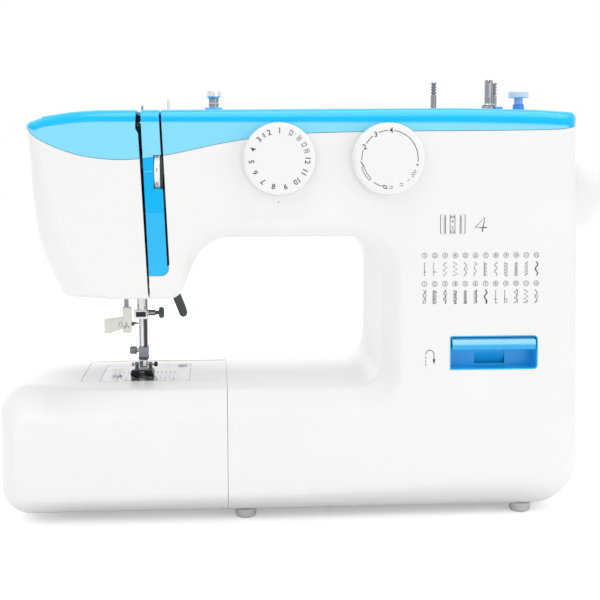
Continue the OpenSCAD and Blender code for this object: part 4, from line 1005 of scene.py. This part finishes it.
def stitch_chart():
    marks = Print(lambda x, z: (x, face_y(z) - 0.05, z))
    for row, (circle_z, low, high) in enumerate(((176.5, 163.2, 172.2), (158.2, 145.4, 154.2))):
        signs = stitches(low, high)
        for column in range(12):
            x = 75.2 + 6.65 * column
            marks.ring(x, circle_z, 1.6, 0.3)
            marks.number(str(column + 1), x, circle_z, 1.9 if column < 9 else 1.6)
            for stroke in signs[column if row == 0 else (column + 5) % 12]:
                marks.stroke([(x + u, z) for u, z in stroke], 0.4 if row == 0 else 0.45)
            if row:
                stroke = signs[(column + 2) % 12][0]
                marks.stroke([(x + 0.6 + u * 0.5, z) for u, z in stroke], 0.36)
    # the steps of a buttonhole: a seam at the right, bars at both ends, a seam at the left
    z0, z1 = 190.3, 202.5
    for x0, x1, seam_x in ((85.5, 88.7, 87.9), (91.7, 94.8, None), (98.2, 101.4, 99.0)):
        marks.stroke([(x0, z0), (x1, z0), (x1, z1), (x0, z1)], 0.42, True)
        if seam_x:
            marks.stroke([(seam_x + u * 0.6, z) for u, z in zigzag(1.3, 0.8, z0 + 0.6, z1 - 0.6)], 0.34)
            continue
        for z in (z0 + 1.0, z0 + 1.9, z1 - 1.0, z1 - 1.9):
            marks.stroke([(x0 + 0.2, z), (x1 - 0.2, z)], 0.35)
        marks.number("2", (x0 + x1) / 2, z0 + 4.2, 1.9)
        marks.number("4", (x0 + x1) / 2, z1 - 4.2, 1.9)
    # slanted four beside them
    marks.stroke([(112.6, 191.6), (114.3, 200.8), (108.0, 194.3), (115.4, 194.3)], 0.75)
    # reverse sewing: a turned arrow with a dashed tail
    for k in range(3):
        marks.stroke([(76.2, 105.2 + 2.3 * k), (76.2, 106.7 + 2.3 * k)], 0.45)
    marks.arc(78.9, 112.6, 2.7, 180, 0, 0.45, 12)
    marks.stroke([(81.6, 112.6), (81.6, 108.6)], 0.45)
    marks.polygon([(81.6, 105.8), (82.5, 109.4), (80.7, 109.4)])
    # tick under the pattern dial
    marks.stroke([(-18.6, 210.2), (-18.6, 211.6)], 0.3)
    marks.finish("front_print", "machine", "shell", INK)

    # light line across the strip between the slots
    marks = Print(lambda x, z: (x, face_y(z) - 0.04, z))
    marks.stroke([(slot_x(230) + 1.3, 229.7), (slot_x(230) + 3.2, 230.3), (slot_x(230) + 6.6, 230.6)], 0.35)
    marks.finish("strip_print", "machine", "blue_cover", PALE_LINE)


# ------------------------------------------------------------------ dials and wheels

def dial_body(x):
    rear, front, r = -56.1, -67.3, 22.8
    depth = rear - front
    profile = [(0, 0), (r - 0.6, 0), (r, 0.6), (r - 0.25, depth - 3.2)]
    profile += arc_points(r - 2.75, depth - 2.5, 2.5, 0, 90, 8)[1:]
    profile += [(r - 3.0, depth), (r - 3.2, depth - 0.12), (0, depth - 0.12)]
    body = lathe("dial", profile, (x, rear, DIAL_Z), "-y", 96)
    stem = rod("stem", "y", -56.2, -34, x, DIAL_Z, 4.0, 32, 0.4)
    return join("dial", [body, stem])


def polar(r, angle):
    return r * cos(radians(angle)), r * sin(radians(angle))


def make_dials():
    for node, x in zip(("pattern_dial", "stitch_length_dial"), DIAL_XS):
        stand_for(dial_body(x), node, DIAL_WHITE, angle=25).name = node + "_piece"
    y = -67.3 + 0.12 - 0.04
    marks = Print(lambda u, v: (DIAL_XS[0] + u, y, DIAL_Z + v))
    r = 17.6
    for k, angle in enumerate((90, 112, 137, 161, 186, 209, 233, 257, 282, 307, 332, 356)):
        marks.number(str(k + 1), *polar(r, angle), 3.5, angle - 90)
    # framed signs for the buttonhole steps, and an open one
    frame_sign = [(-0.9, -1.7), (0.9, -1.7), (0.9, 1.7), (-0.9, 1.7)]
    for angle, framed, bars in ((16, True, (-0.6, 0.6)), (30, True, (-1.1, 1.1)), (46, True, (-0.6, 0.6)),
                                (66, True, (-1.1, 1.1)), (124, False, (-1.2, -0.4, 0.4, 1.2))):
        u, v = polar(r, angle)
        c, s = polar(1, angle - 90)
        if framed:
            marks.stroke([(u + a * c - b * s, v + a * s + b * c) for a, b in frame_sign], 0.32, True)
        for b in bars:
            marks.stroke([(u + a * c - b * s, v + a * s + b * c) for a in (-0.7, 0.7)], 0.4)
    marks.finish("pattern_dial_print", "pattern_dial", "dial", INK)

    marks = Print(lambda u, v: (DIAL_XS[1] + u, y, DIAL_Z + v))
    r = 17.8
    for body, angle in (("4", 88), ("3", 121), ("2", 155), ("1", 190), ("0", 260)):
        marks.number(body, *polar(r, angle), 3.4, 0 if body == "4" else (angle - 90) * 0.35)
    for start, end in ((-6, 82), (94, 114), (128, 148), (162, 183), (235, 253)):
        marks.arc(0, 0, r, start, end, 0.45)
    for side in (0.75, -0.75):
        marks.arc(0, 0, r + side, 196, 226, 0.4)
    for angle in (196, 226):
        marks.stroke([polar(r - 0.9, angle), polar(r + 0.9, angle)], 0.3)
    signs = [(273, [(-1.3, 0.7), (0.7, 0.7), (0.7, -0.7), (-1.3, -0.7)]),
             (295, [(-1.3, 0.7), (0.7, 0.7), (0.7, -0.7), (-1.3, -0.7)]), (312, [(-0.7, -0.5), (0.7, 0.6)])]
    signs += [(329 + 5 * step, [(-1, 0.7), (0.2, 0.9), (-0.2, -0.9), (1, -0.7)]) for step in (-1, 0, 1)]
    signs += [(348, [(-0.9, 0), (0.9, 0)]), (348, [(0, -0.9), (0, 0.9)])]
    for angle, points in signs:
        u, v = polar(r, angle)
        marks.stroke([(u + a, v + b) for a, b in points], 0.35)
    marks.finish("length_dial_print", "stitch_length_dial", "dial", INK)


def make_handwheel():
    r, w, x0 = 28.7, 19.8, 181.4
    profile = [(0, 0), (r - 1.2, 0), (r - 0.2, 0.9), (r, 1.9), (r, w - 6.2)]
    profile += arc_points(r - 6, w - 6.0, 6, 0, 82, 10)[1:]
    profile += [(17.5, w - 0.6), (16.6, w - 1.6), (12.2, w - 1.6), (11.4, w - 0.7), (9.8, w - 0.1), (0, w)]
    stand_for(lathe("handwheel_piece", profile, (x0, 0, SHAFT_Z), "x", 96), "handwheel", DIAL_WHITE, angle=25)


def make_tension_dial():
    x0, y, z, r = -97.0, -41.5, 230.0, 14.5
    profile = [(0, 0), (r - 0.5, 0), (r, 0.5), (r, 3.5), (r, 3.6), (0, 3.6)]
    body = painted(lathe("wheel", profile, (x0, y, z), "x", 96), DIAL_WHITE)
    rows = [(3.6, r - 1.1, 0), (3.9, r - 1.1, 1), (5.1, r - 1.1, 1), (5.4, r - 1.1, 0)]
    knurl = painted(fluted("knurl", (x0, y, z), rows, 144, lambda k: -0.55 if k % 2 else 0.15), GREY_DARK)
    assemble("tension_dial", [body, knurl], 25)
    # numbers 0 to 9 round the rim, two or three of them in the window
    rr = r + 0.05
    marks = Print(lambda u, v: (x0 + 1.8 + u, y - rr * cos(v / r), z + rr * sin(v / r)))
    for k in range(10):
        v = r * radians(-30 + 36 * k)
        marks.number(str(k), 0, v, 2.3)
        marks.stroke([(1.2, v + 0.16 * r), (1.7, v + 0.16 * r)], 0.02 * r)
    marks.finish("tension_dial_print", "tension_dial", "dial", INK)


# ------------------------------------------------------------------ fittings on the top

def make_spool_pins():
    for node, x in zip(("spool_pin_left", "spool_pin_right"), PIN_XS):
        r = 2.1
        profile = [(0, 225.5), (r - 0.3, 225.5), (r, 225.8), (r, 283.2)]
        for k in range(4):
            z = 283.4 + 2.15 * k
            profile += [(r - 0.8, z), (r - 0.8, z + 0.35), (r - 0.1, z + 0.75), (r, z + 1.2), (r - 0.1, z + 1.65)]
        profile += [(r - 0.6, 292.0), (0, 292.2)]
        stand_for(spin("pin", profile, (x, PIN_Y, 0), CHROME_PAINTED_DARK, steps=32), node, angle=40)


def make_winder():
    """Slotted tube with a leaf spring, on an arm that slides towards the stopper."""
    x, top = WINDER_X, 270.4
    tube = spin("tube", [(0, 260.5), (1.5, 260.5), (1.5, top + 2.3), (4.9, top + 2.3), (4.9, top + 3.2),
                         (4.4, top + 4.0), (3.3, top + 4.3), (2.8, top + 4.9), (2.8, 291.0), (2.3, 291.7),
                         (1.6, 291.7), (1.6, 283), (0, 283)],
                (x, 0, 0), CHROME_PAINTED_DARK)
    for k in range(3):
        angle = 2 * pi * k / 3 + 0.5
        slit = block("slit", (0, -0.35, 279), (4, 0.35, 296))
        slit.data.transform(Matrix.Translation((x * MM, 0, 0)) @ Matrix.Rotation(angle, 4, "Z"))
        cut(tube, slit)
    spring = bar("leaf", (x - 0.5, -3.05, 279.5), (x + 0.5, -2.75, 289.5), STEEL, 0.1, 1)
    ring = spin("collar", [(3.0, top + 4.2), (3.9, top + 4.2), (4.1, top + 4.6), (3.9, top + 5.2), (3.0, top + 5.3)],
                (x, 0, 0), CHROME)
    assemble("winder_spindle", [tube, spring, ring])

    plan = arc_points(x, 0, 5.4, 40, 320, 14) + [(x + 8.2, -2.4), (x + 9.8, -1.6), (x + 9.8, 1.6), (x + 8.2, 2.4)]
    arm = slab("arm", plan, "z", top + 0.35, top + 1.95, BLUE_LIGHT, 0.4)
    lever = bar("lever", (x + 3.6, -1.9, top + 1.9), (x + 9.9, 1.9, top + 3.4), BLUE_LIGHT, 0.5, 3)
    post = pole("post", "z", 261.5, top + 1, x, 0, 2.7, IVORY, 32, 0.3)
    guide = bar("carriage", (x - 7, -6, 261.5), (x + 7, 6, 266.2), IVORY, 0.5)
    tab = bar("tab", (x - 4.3, -7.6, top + 0.3), (x + 1.2, -4.2, top + 1.9), IVORY, 0.4)
    bore((post, guide, arm), "z", 255, 280, x, 0, 1.56, 24)
    assemble("winder_arm", [arm, lever, post, guide, tab])


def make_stopper():
    x, z = STOPPER
    seat = spin("seat", [(0, 0), (6.9, 0), (7, 0.2), (6.6, 0.9), (5.6, 1.3), (4.2, 1.5), (0, 1.5)], (x, 0, z), PEARL)
    plug = pole("plug", "z", z - 5, z + 0.5, x, 0, 1.95, IVORY, 24, 0.3)
    cup = spin("cup", [(0, 1.4), (3.9, 1.4), (4.0, 1.7), (3.9, 5.0), (3.5, 5.5), (0, 5.5)], (x, 0, z), BLUE_MID)
    stem = spin("stem", [(0, 5.4), (3.1, 5.4), (3.1, 10.0), (0, 10.0)], (x, 0, z), CLEAR_BLUE)
    cap = spin("cap", [(0, 9.8), (6.5, 9.8), (6.9, 10.2), (6.9, 13.5), (6.4, 14.1), (5.2, 14.2), (5.0, 13.9),
                       (0, 13.9)], (x, 0, z), PEARL)
    assemble("bobbin_stopper", [seat, plug, cup, stem, cap])


def make_pretension_guide():
    x, z = PRETENSION
    cup = spin("cup", [(0, 0), (6.3, 0), (6.4, 0.4), (6.2, 2.6), (5.7, 3.0), (4.6, 3.1), (4.3, 2.5), (0, 2.5)],
               (x, 0, z), BLUE_LIGHT)
    plug = pole("plug", "z", z - 4, z + 0.5, x, 0, 1.95, STEEL, 24, 0.3)
    stem = spin("stem", [(0, 2.4), (3.4, 2.4), (3.4, 8.8), (3.0, 9.2), (0, 9.2)], (x, 0, z), CHROME_PAINTED_DARK)
    ring = spin("ring", [(3.0, 5.2), (3.7, 5.3), (3.9, 5.7), (3.7, 6.1), (3.0, 6.2)], (x, 0, z), CHROME)
    cap = spin("cap", [(0, 9.1), (3.6, 9.1), (4.9, 10.4), (4.9, 13.4), (4.4, 14.0), (2.4, 14.1), (2.1, 13.6),
                       (0, 13.6)], (x, 0, z), CHROME)
    assemble("pretension_guide", [cup, plug, stem, ring, cap])


def make_rear_guide():
    """Bent plate with an eye, standing behind the tension slot."""
    x = -88.9
    plate = bar("plate", (x - 0.9, -19.5, 268.9), (x + 0.9, -8.5, 277.2), CHROME, 0.5, 3)
    bore([plate], "x", x - 3, x + 3, -14, 273.8, 1.6, 24)
    foot = bar("foot", (x - 2.2, -17.5, 268.9), (x + 2.2, -10.5, 270.2), STEEL, 0.3)
    assemble("rear_thread_guide", [plate, foot])


def make_take_up():
    """Flat arm, bent over to the slot, with a hooked eye at its tip."""
    turn = Matrix.Translation((0, 8 * MM, 218 * MM)) @ Matrix.Rotation(radians(-70), 4, "X")
    hub = pole("hub", "x", -121.8, -118.6, 0, 0, 6, CHROME, 40, 0.4)
    arm = bar("arm", (-121.8, -48, -2.8), (-119.8, 0, 2.8), CHROME, 0.6, 3)
    bend = bar("bend", (-121.6, -48, -2.8), (-105.5, -45.2, 2.8), CHROME, 0.8, 3)
    outline = [(-45.2, -2.6), (-45.2, 2.6), (-57.5, 2.5), (-59.6, 1.7), (-60.6, 0.2), (-60.2, -1.6), (-58.6, -2.5)]
    tip = slab("tip", outline, "x", -107.05, -105.55, CHROME)
    bore([tip], "x", -110, -102, -57.8, 0, 1.1, 24)
    cut(tip, block("throat", (-110, -62, 0.2), (-102, -57.6, 0.9)))
    bore((hub, arm), "x", -125, -115, 0, 0, 3.05)
    lever = join("take_up_lever_piece", [hub, arm, bend, tip])
    lever.data.transform(turn)
    stand_for(lever, "take_up_lever", angle=35)


# ------------------------------------------------------------------ needle, presser foot and lifter

def make_needle_bar():
    softened("head_plate", CHROME_PAINTED_DARK, 0.35)
    softened("needle_bar", CHROME, 0.4)
    z = CLAMP_Z
    barrel = spin("barrel", [(1.05, 0), (3.6, 0), (4.3, 0.6), (4.4, 5.4), (3.9, 6.2), (3.2, 6.2), (3.2, 3.9),
                             (1.05, 3.9)], (NEEDLE_X, 0, z), CHROME)
    front = bar("front", (NEEDLE_X - 4.5, -5.6, z - 0.2), (NEEDLE_X + 4.2, -2.4, z + 6.2), CHROME, 0.5)
    cut(front, block("pocket", (NEEDLE_X - 3.3, -6.5, z + 1.3), (NEEDLE_X + 3.6, -5.0, z + 4.9)))
    bore([front], "z", z - 2, z + 8, NEEDLE_X, 0, 3.25)
    insert = bar("insert", (NEEDLE_X - 3.2, -5.3, z + 1.4), (NEEDLE_X + 3.5, -4.8, z + 4.8), BLACK, 0.1, 1)
    neck = pole("neck", "x", NEEDLE_X + 3.4, NEEDLE_X + 10, 0, z + 3.6, 2.0, CHROME_PAINTED_DARK, 32, 0.25)
    flange = pole("flange", "x", NEEDLE_X + 4.0, NEEDLE_X + 5.0, 0, z + 3.6, 2.5, CHROME)
    assemble("needle_clamp", [barrel, front, insert, neck, flange])
    # thumb screw with a fluted grip
    rows = [(0, 1.3, 0), (2.0, 1.3, 0), (2.1, 2.7, 0), (2.7, 3.8, 0.5), (5.0, 3.8, 0.5), (5.7, 2.9, 0.1),
            (5.8, 0.01, 0)]
    screw = fluted("clamp_screw_piece", (NEEDLE_X + 10, 0, z + 3.6), rows, 48, lambda k: 0.5 - 0.5 * cos(pi * k / 3))
    stand_for(screw, "clamp_screw", GREY_DARK, angle=40)
    profile = [(0, 0), (0.12, 0.3), (0.42, 2.6), (0.45, 3.4), (0.38, 3.8), (0.45, 4.4), (0.45, 12), (0.62, 12.9),
               (1.0, 14), (1.0, 22.4), (0.85, 23)]
    stand_for(lathe("needle_piece", profile, (NEEDLE_X, 0, 111.0), "z", 20), "needle", CHROME, angle=40)


def make_presser_bar():
    """Bar with its clamp collar inside the head, and the foot holder with its screw."""
    profile = [(0, 104.3), (2.9, 104.3), (3.1, 104.6), (3.1, 180.5), (4.5, 180.6), (4.5, 185.4), (3.1, 185.5),
               (3.1, 245), (2.8, 245.4), (0, 245.4)]
    # the presser bar's chrome carries painted reflections
    stand_for(spin("presser_bar_piece", profile, (PRESSER_X, PRESSER_Y, 0), CHROME_PAINTED_REFLECTIONS, steps=40),
              "presser_bar", angle=35)
    x = PRESSER_X
    body = bar("body", (x - 3.4, 6.2, 99.9), (x + 3.4, 16.5, 108.8), SATIN, 0.5, 3)
    bore([body], "z", 104.3, 112, x, PRESSER_Y, 3.12)
    legs = bar("legs", (x - 2.9, 5.0, 94.7), (x + 2.9, 11, 99.9), CHROME, 0.5, 2)
    bore([legs], "x", x - 5, x + 5, *FOOT_PIN, 0.92, 20)
    band = bar("band", (x - 3.55, 5.9, 100.9), (x + 3.55, 16.6, 101.7), BLACK, 0.1, 1)
    bore([band], "z", 90, 112, x, PRESSER_Y, 3.12)
    spring = bar("latch", (x - 1.9, 10.6, 96.2), (x + 1.9, 12.4, 100.4), STEEL, 0.3, 2)
    tab = bar("tab", (x - 3.1, 5.2, 98.0), (x + 3.1, 6.6, 99.2), BLACK, 0.2, 1)
    assemble("foot_holder", [body, legs, band, spring, tab])

    x0, z = x - 3.4, 105.9
    shank = pole("shank", "x", x0 - 1.6, x0 + 0.1, PRESSER_Y, z, 1.4, CHROME, 24, 0.1)
    rows = [(-1.4, 0.01, 0), (-1.4, 2.3, 0), (-1.7, 2.7, 0.25), (-5.4, 2.7, 0.25), (-6.4, 2.0, 0.05), (-6.6, 0.01, 0)]
    grip = painted(fluted("grip", (x0, PRESSER_Y, z), rows, 60, lambda k: k % 4 < 2, 0.02), CHROME_PAINTED_DARK)
    assemble("foot_screw", [shank, grip], 40)


def make_foot():
    """Zigzag foot: a thin sole with upturned toes, a needle slot and two ears with a cross pin."""
    x = PRESSER_X
    sole = BED_Z + 0.8
    rows = []
    for y, low, high in ((13, 0, 2.2), (12.2, -0.02, 2.3), (4, 0, 2.2), (-4, 0, 2.2), (-8.5, 0.05, 2.2),
                         (-11.5, 0.9, 2.9), (-14.2, 2.4, 4.2), (-16.4, 4.2, 5.5), (-17.4, 5.2, 6.1)):
        half = 7.8 if y < 9 else 6.8
        half = 7.0 if y < -16 else half
        rows.append([(x + u, y, sole + v) for u, v in
                     ((-half, low + 0.2), (-half + 0.5, low), (half - 0.5, low), (half, low + 0.2), (half, high - 0.5),
                      (half - 0.6, high), (-half + 0.6, high), (-half, high - 0.5))])
    plate = loft("sole", rows)
    cut(plate, block("needle_slot", (NEEDLE_X - 3.4, -2.6, 88), (NEEDLE_X + 3.4, 2.6, 100), 0.8))
    cut(plate, block("toe_gap", (x - 1.6, -20, 88), (x + 1.6, -6.4, 100)))
    cut(plate, block("thread_gap", (x + 1.2, -7.5, 88), (x + 2.2, -2.0, 100)))
    painted(plate, FOOT_DARK)
    pieces = [plate]
    for side in (-1, 1):
        u = x + side * 4.7
        ear = [(5.1, sole + 1.6), (10.5, sole + 1.6), (10.5, sole + 4.2), (9.4, 97.8), (8.6, 98.3), (6.2, 98.3),
               (5.1, 97.4)]
        pieces.append(slab("ear", ear, "x", u - 1.3, u + 1.3, CHROME_PAINTED_DARK))
        pieces.append(bar("web", (u - 1.3, -3.8, sole + 1.9), (u + 1.3, 6, sole + 3.1), FOOT_DARK, 0.4, 2))
    for low, high, *values in ((-7.4, 7.4, 0.8, CHROME, 20, 0.15), (7.2, 9.6, 1.7, BLACK, 24, 0.4),
                               (-8.2, -7.0, 1.3, CHROME_PAINTED_DARK, 24)):
        pieces.append(pole("pin", "x", x + low, x + high, *FOOT_PIN, *values))
    assemble("presser_foot", pieces)


def make_threader():
    x, y = -119.5, -5.0
    stem = pole("stem", "z", 137.5, 175.5, x, y, 1.6, CHROME_PAINTED_DARK, 24, 0.2)
    body = bar("body", (x - 2.6, y - 3.5, 122.5), (x + 3.4, y + 2.2, 138.5), IVORY, 0.7, 3)
    outline = [(x - 15, 120.5), (x - 9.5, 121.2), (x - 2.5, 123.8), (x - 2.5, 132.2), (x - 7.6, 131.6), (x - 15, 130.6)]
    arm = slab("arm", outline, "y", y - 3.5, y - 1.5, CLEAR_WHITE, 0.45)
    foot = bar("foot", (x - 2.4, y - 3.3, 120.9), (x + 3.2, y + 1.8, 122.6), IVORY, 0.5, 2)
    outline = [(x + 3, 126.0), (x + 3, 128.6), (x + 5.4, 128.4), (x + 8.4, 127.7), (x + 8.4, 127.0), (x + 6.0, 127.0),
               (x + 4.6, 125.4)]
    hook = slab("hook", outline, "y", y - 2.6, y - 1.6, GREY_DARK, 0.15, 1)
    outline = [(x - 5.2, 125.2), (x - 2.6, 125.0), (x - 2.6, 128.6), (x - 5.2, 128.4)]
    guide = slab("guide", outline, "y", y - 3.9, y - 3.3, IVORY, 0.15, 1)
    assemble("needle_threader", [stem, body, arm, foot, hook, guide])
    marks = Print(lambda u, z: (u, y - 3.56, z))
    for points in ([(x - 1.7, 124.2), (x + 0.1, 128.6), (x + 1.7, 124.2)], [(x - 0.6, 124.2), (x + 0.3, 126.6)]):
        marks.stroke(points, 0.5)
    marks.finish("threader_print", "needle_threader", "ivory", INK_PALE)
    marks = Print(lambda u, z: (u, y - 3.96, z))
    marks.stroke([(x - 4.7, 125.7), (x - 3.1, 125.7), (x - 3.1, 127.9), (x - 4.7, 127.9)], 0.35, True)
    marks.finish("threader_guide_print", "needle_threader", "ivory", INK_PALE)


def make_lifter():
    """Flat lever that widens towards its pivot, with a rounded grip."""
    outline = [(-6, 0), (-4.5, 4), (0, 6), (4.5, 4), (6, 0), (4.2, -7), (3.1, -13), (2.8, -20), (3.0, -32),
               (2.8, -35.4)]
    outline += arc_points(0, -35, 2.8, -15, -165, 10)
    outline += [(-2.8, -35.4), (-3.0, -24), (-3.8, -14), (-5.2, -5)]
    lever = prism("presser_lifter_piece", outline, "y", 0, 6)
    bore([lever], "y", -1, 7, 0, 0, 3.06)
    rounded_edges(lever, 0.6, 3, 35)
    lever.data.transform(Matrix.Translation((-94 * MM, 28 * MM, 162.5 * MM)) @ Matrix.Rotation(radians(-20), 4, "Y"))
    stand_for(lever, "presser_lifter", GREY_DARK, angle=35)


# ------------------------------------------------------------------ bed, reverse lever and the rest

def make_plate():
    softened("needle_plate", PLATE, 0.15, 2)
    softened("plate_screws", STEEL, 0.15, 2)
    softened("feed_dog", STEEL, 0.1, 1)
    z = BED_Z + 0.03
    marks = Print(lambda u, v: (u, v, z))
    x0, y0 = -137.0, -21.2
    # seam guide lines on both sides of the needle, with plain numbers
    for side in (-1, 1):
        for k, gap in enumerate((10, 13, 16, 19, 22) if side > 0 else (10, 13, 16, 19)):
            u = NEEDLE_X + side * gap
            marks.stroke([(u, -15), (u, -6)], 0.3)
            marks.stroke([(u, 6), (u, 16)], 0.3)
            if k % 2 == 0:
                marks.number(str(10 + 5 * (k // 2)), u, -18.0, 2.2)
    for v in (-12, -4, 4, 12):
        marks.stroke([(NEEDLE_X - 22, v), (NEEDLE_X - 12, v)], 0.22)
        marks.stroke([(NEEDLE_X + 12, v), (NEEDLE_X + 26, v)], 0.22)
    marks.arc(NEEDLE_X + 20, 30, 5, 20, 160, 0.35, 12)
    marks.ring(NEEDLE_X - 18, 22, 3.2, 0.4)
    edge = [(x0 + 0.2, y0 + 0.2), (-77.2, y0 + 0.2), (-77.2, 43.0), (x0 + 0.2, 43.0)]
    marks.stroke(edge, 0.35, True)
    marks.finish("needle_plate_print", "machine", "plate", INK_PALE)


def make_reverse():
    x0, x1, z0, z1 = LEVER
    box = prism("reverse_bezel_piece", lever_outline(0.05), "y", -64, -46.2)
    middle = (x0 + x1) / 2
    front = [(face_y(z) - 0.25, z) for z in (90, 135)]
    lean = prism("lean", [(-90, 90)] + front + [(-90, 135)], "x", x0 - 5, x1 + 5)
    cut(box, lean)
    cut(box, prism("room", lever_outline(0.8), "y", -80, -47.6))
    cut(box, block("pass", (middle - 10, -50, z0 + 2), (middle + 10, -40, z1 - 2)))
    rounded_edges(box, 0.3, 2, 40)
    stand_for(box, "reverse_bezel", BLUE_DARK, angle=35)

    # the lever: a pale sloping top that rounds over into its front, hollow behind
    side = [(-47.4, 123.0), (-57.4, 122.9), (-60.6, 121.6), (-61.6, 119.4), (-61.3, 116.2), (-60.4, 115.0),
            (-59.2, 115.3), (-58.6, 117.2), (-57.6, 119.6), (-49.0, 119.9), (-49.0, 115.2), (-47.4, 115.2)]
    paddle = prism("paddle", side, "x", x0 + 1.5, x1 - 1.5)
    rounded_edges(paddle, 0.45, 3, 30)
    painted(paddle, LEVER_TONES)
    outline = [(-47.6, 122.6), (-57.4, 122.5), (-60.6, 121.2), (-61.4, 119.2), (-61.1, 116.4), (-60.0, 115.3),
               (-47.6, 115.5)]
    ends = [slab("end", outline, "x", u, u + 1.6, LEVER_TONES, 0.3) for u in (x0 + 1.5, x1 - 3.1)]
    stem = bar("stem", (middle - 8, -50.4, 114.2), (middle + 8, LEVER_PIVOT[0], 119.8), BLUE_LIGHT, 0.6)
    hub = pole("hub", "x", middle - 8, middle + 8, *LEVER_PIVOT, 5, BLUE_LIGHT, 40, 0.4)
    bore((stem, hub), "x", x0, x1, *LEVER_PIVOT, 2.06)
    # a curved shield about the pivot keeps the opening behind the lever closed
    outline = []
    for r, start, end in ((29.5, -30, 10.4), (27.9, 10.4, 22), (26.9, 22, -30)):
        outline += arc_points(*LEVER_PIVOT, r, 180 - start, 180 - end, 8)
    shield = painted(prism("shield", outline, "x", middle - 9.95, middle + 9.95), BLUE_DARK)
    assemble("reverse_lever", [paddle] + ends + [stem, hub, shield])


def make_rest():
    for node, *values in (
            ("free_arm", SHELL, 0.35, 2, 35), ("bobbin_door", SHELL, 0.5, 3), ("base_plate", BASE, 0.6),
            ("casing_screws", STEEL), ("power_inlet", BLACK, 0.5), ("power_switch", BLACK, 0.4, 3),
            ("motor", CAST, 0.8), ("cam_stack", IVORY, 0.3, 1), ("hook_race", CHROME, 0.3),
            ("shuttle_hook", STEEL, 0.3), ("bobbin_case", CHROME, 0.3), ("lamp", BULB, 0.8, 3)):
        piece = softened(node, *values)
        if node == "base_plate":
            cut(piece, block("plate_edge", (-60, -70, 0), (170, BASE_FRONT, 20)))
    profile = [(0, 0.6), (2.4, 0.6), (2.8, 0), (5.2, 0), (6.2, 0.5), (6.9, 1.8), (7, 5.6), (6.6, 6), (2.2, 6),
               (2.2, 10.5), (0, 10.5)]
    feet = [spin("foot", profile, (x, y, 0), PALE_RUBBER, steps=40) for x in (-40, 147) for y in (-35, 45)]
    assemble("rubber_feet", feet)
    refinish(CAST, "arm_frame", "connecting_rod")
    refinish(BRONZE, "shaft_bushings")
    refinish(BELT, "timing_belt", "motor_belt")
    refinish(STEEL, "main_shaft", "crank_disc", "lower_shaft", "motor_pulley", "presser_spring")
    refinish(CHROME, "tension_discs")
    refinish(BLACK, "drive_pulley", "lower_pulley")
    refinish(CLEAR_WHITE, "bobbin")


look_from()
light_studio()
lay_floor()
make_covers()
stitch_chart()
make_dials()
make_handwheel()
make_tension_dial()
make_spool_pins()
make_winder()
make_stopper()
make_pretension_guide()
make_rear_guide()
make_take_up()
make_needle_bar()
make_presser_bar()
make_foot()
make_threader()
make_lifter()
make_plate()
make_reverse()
make_rest()
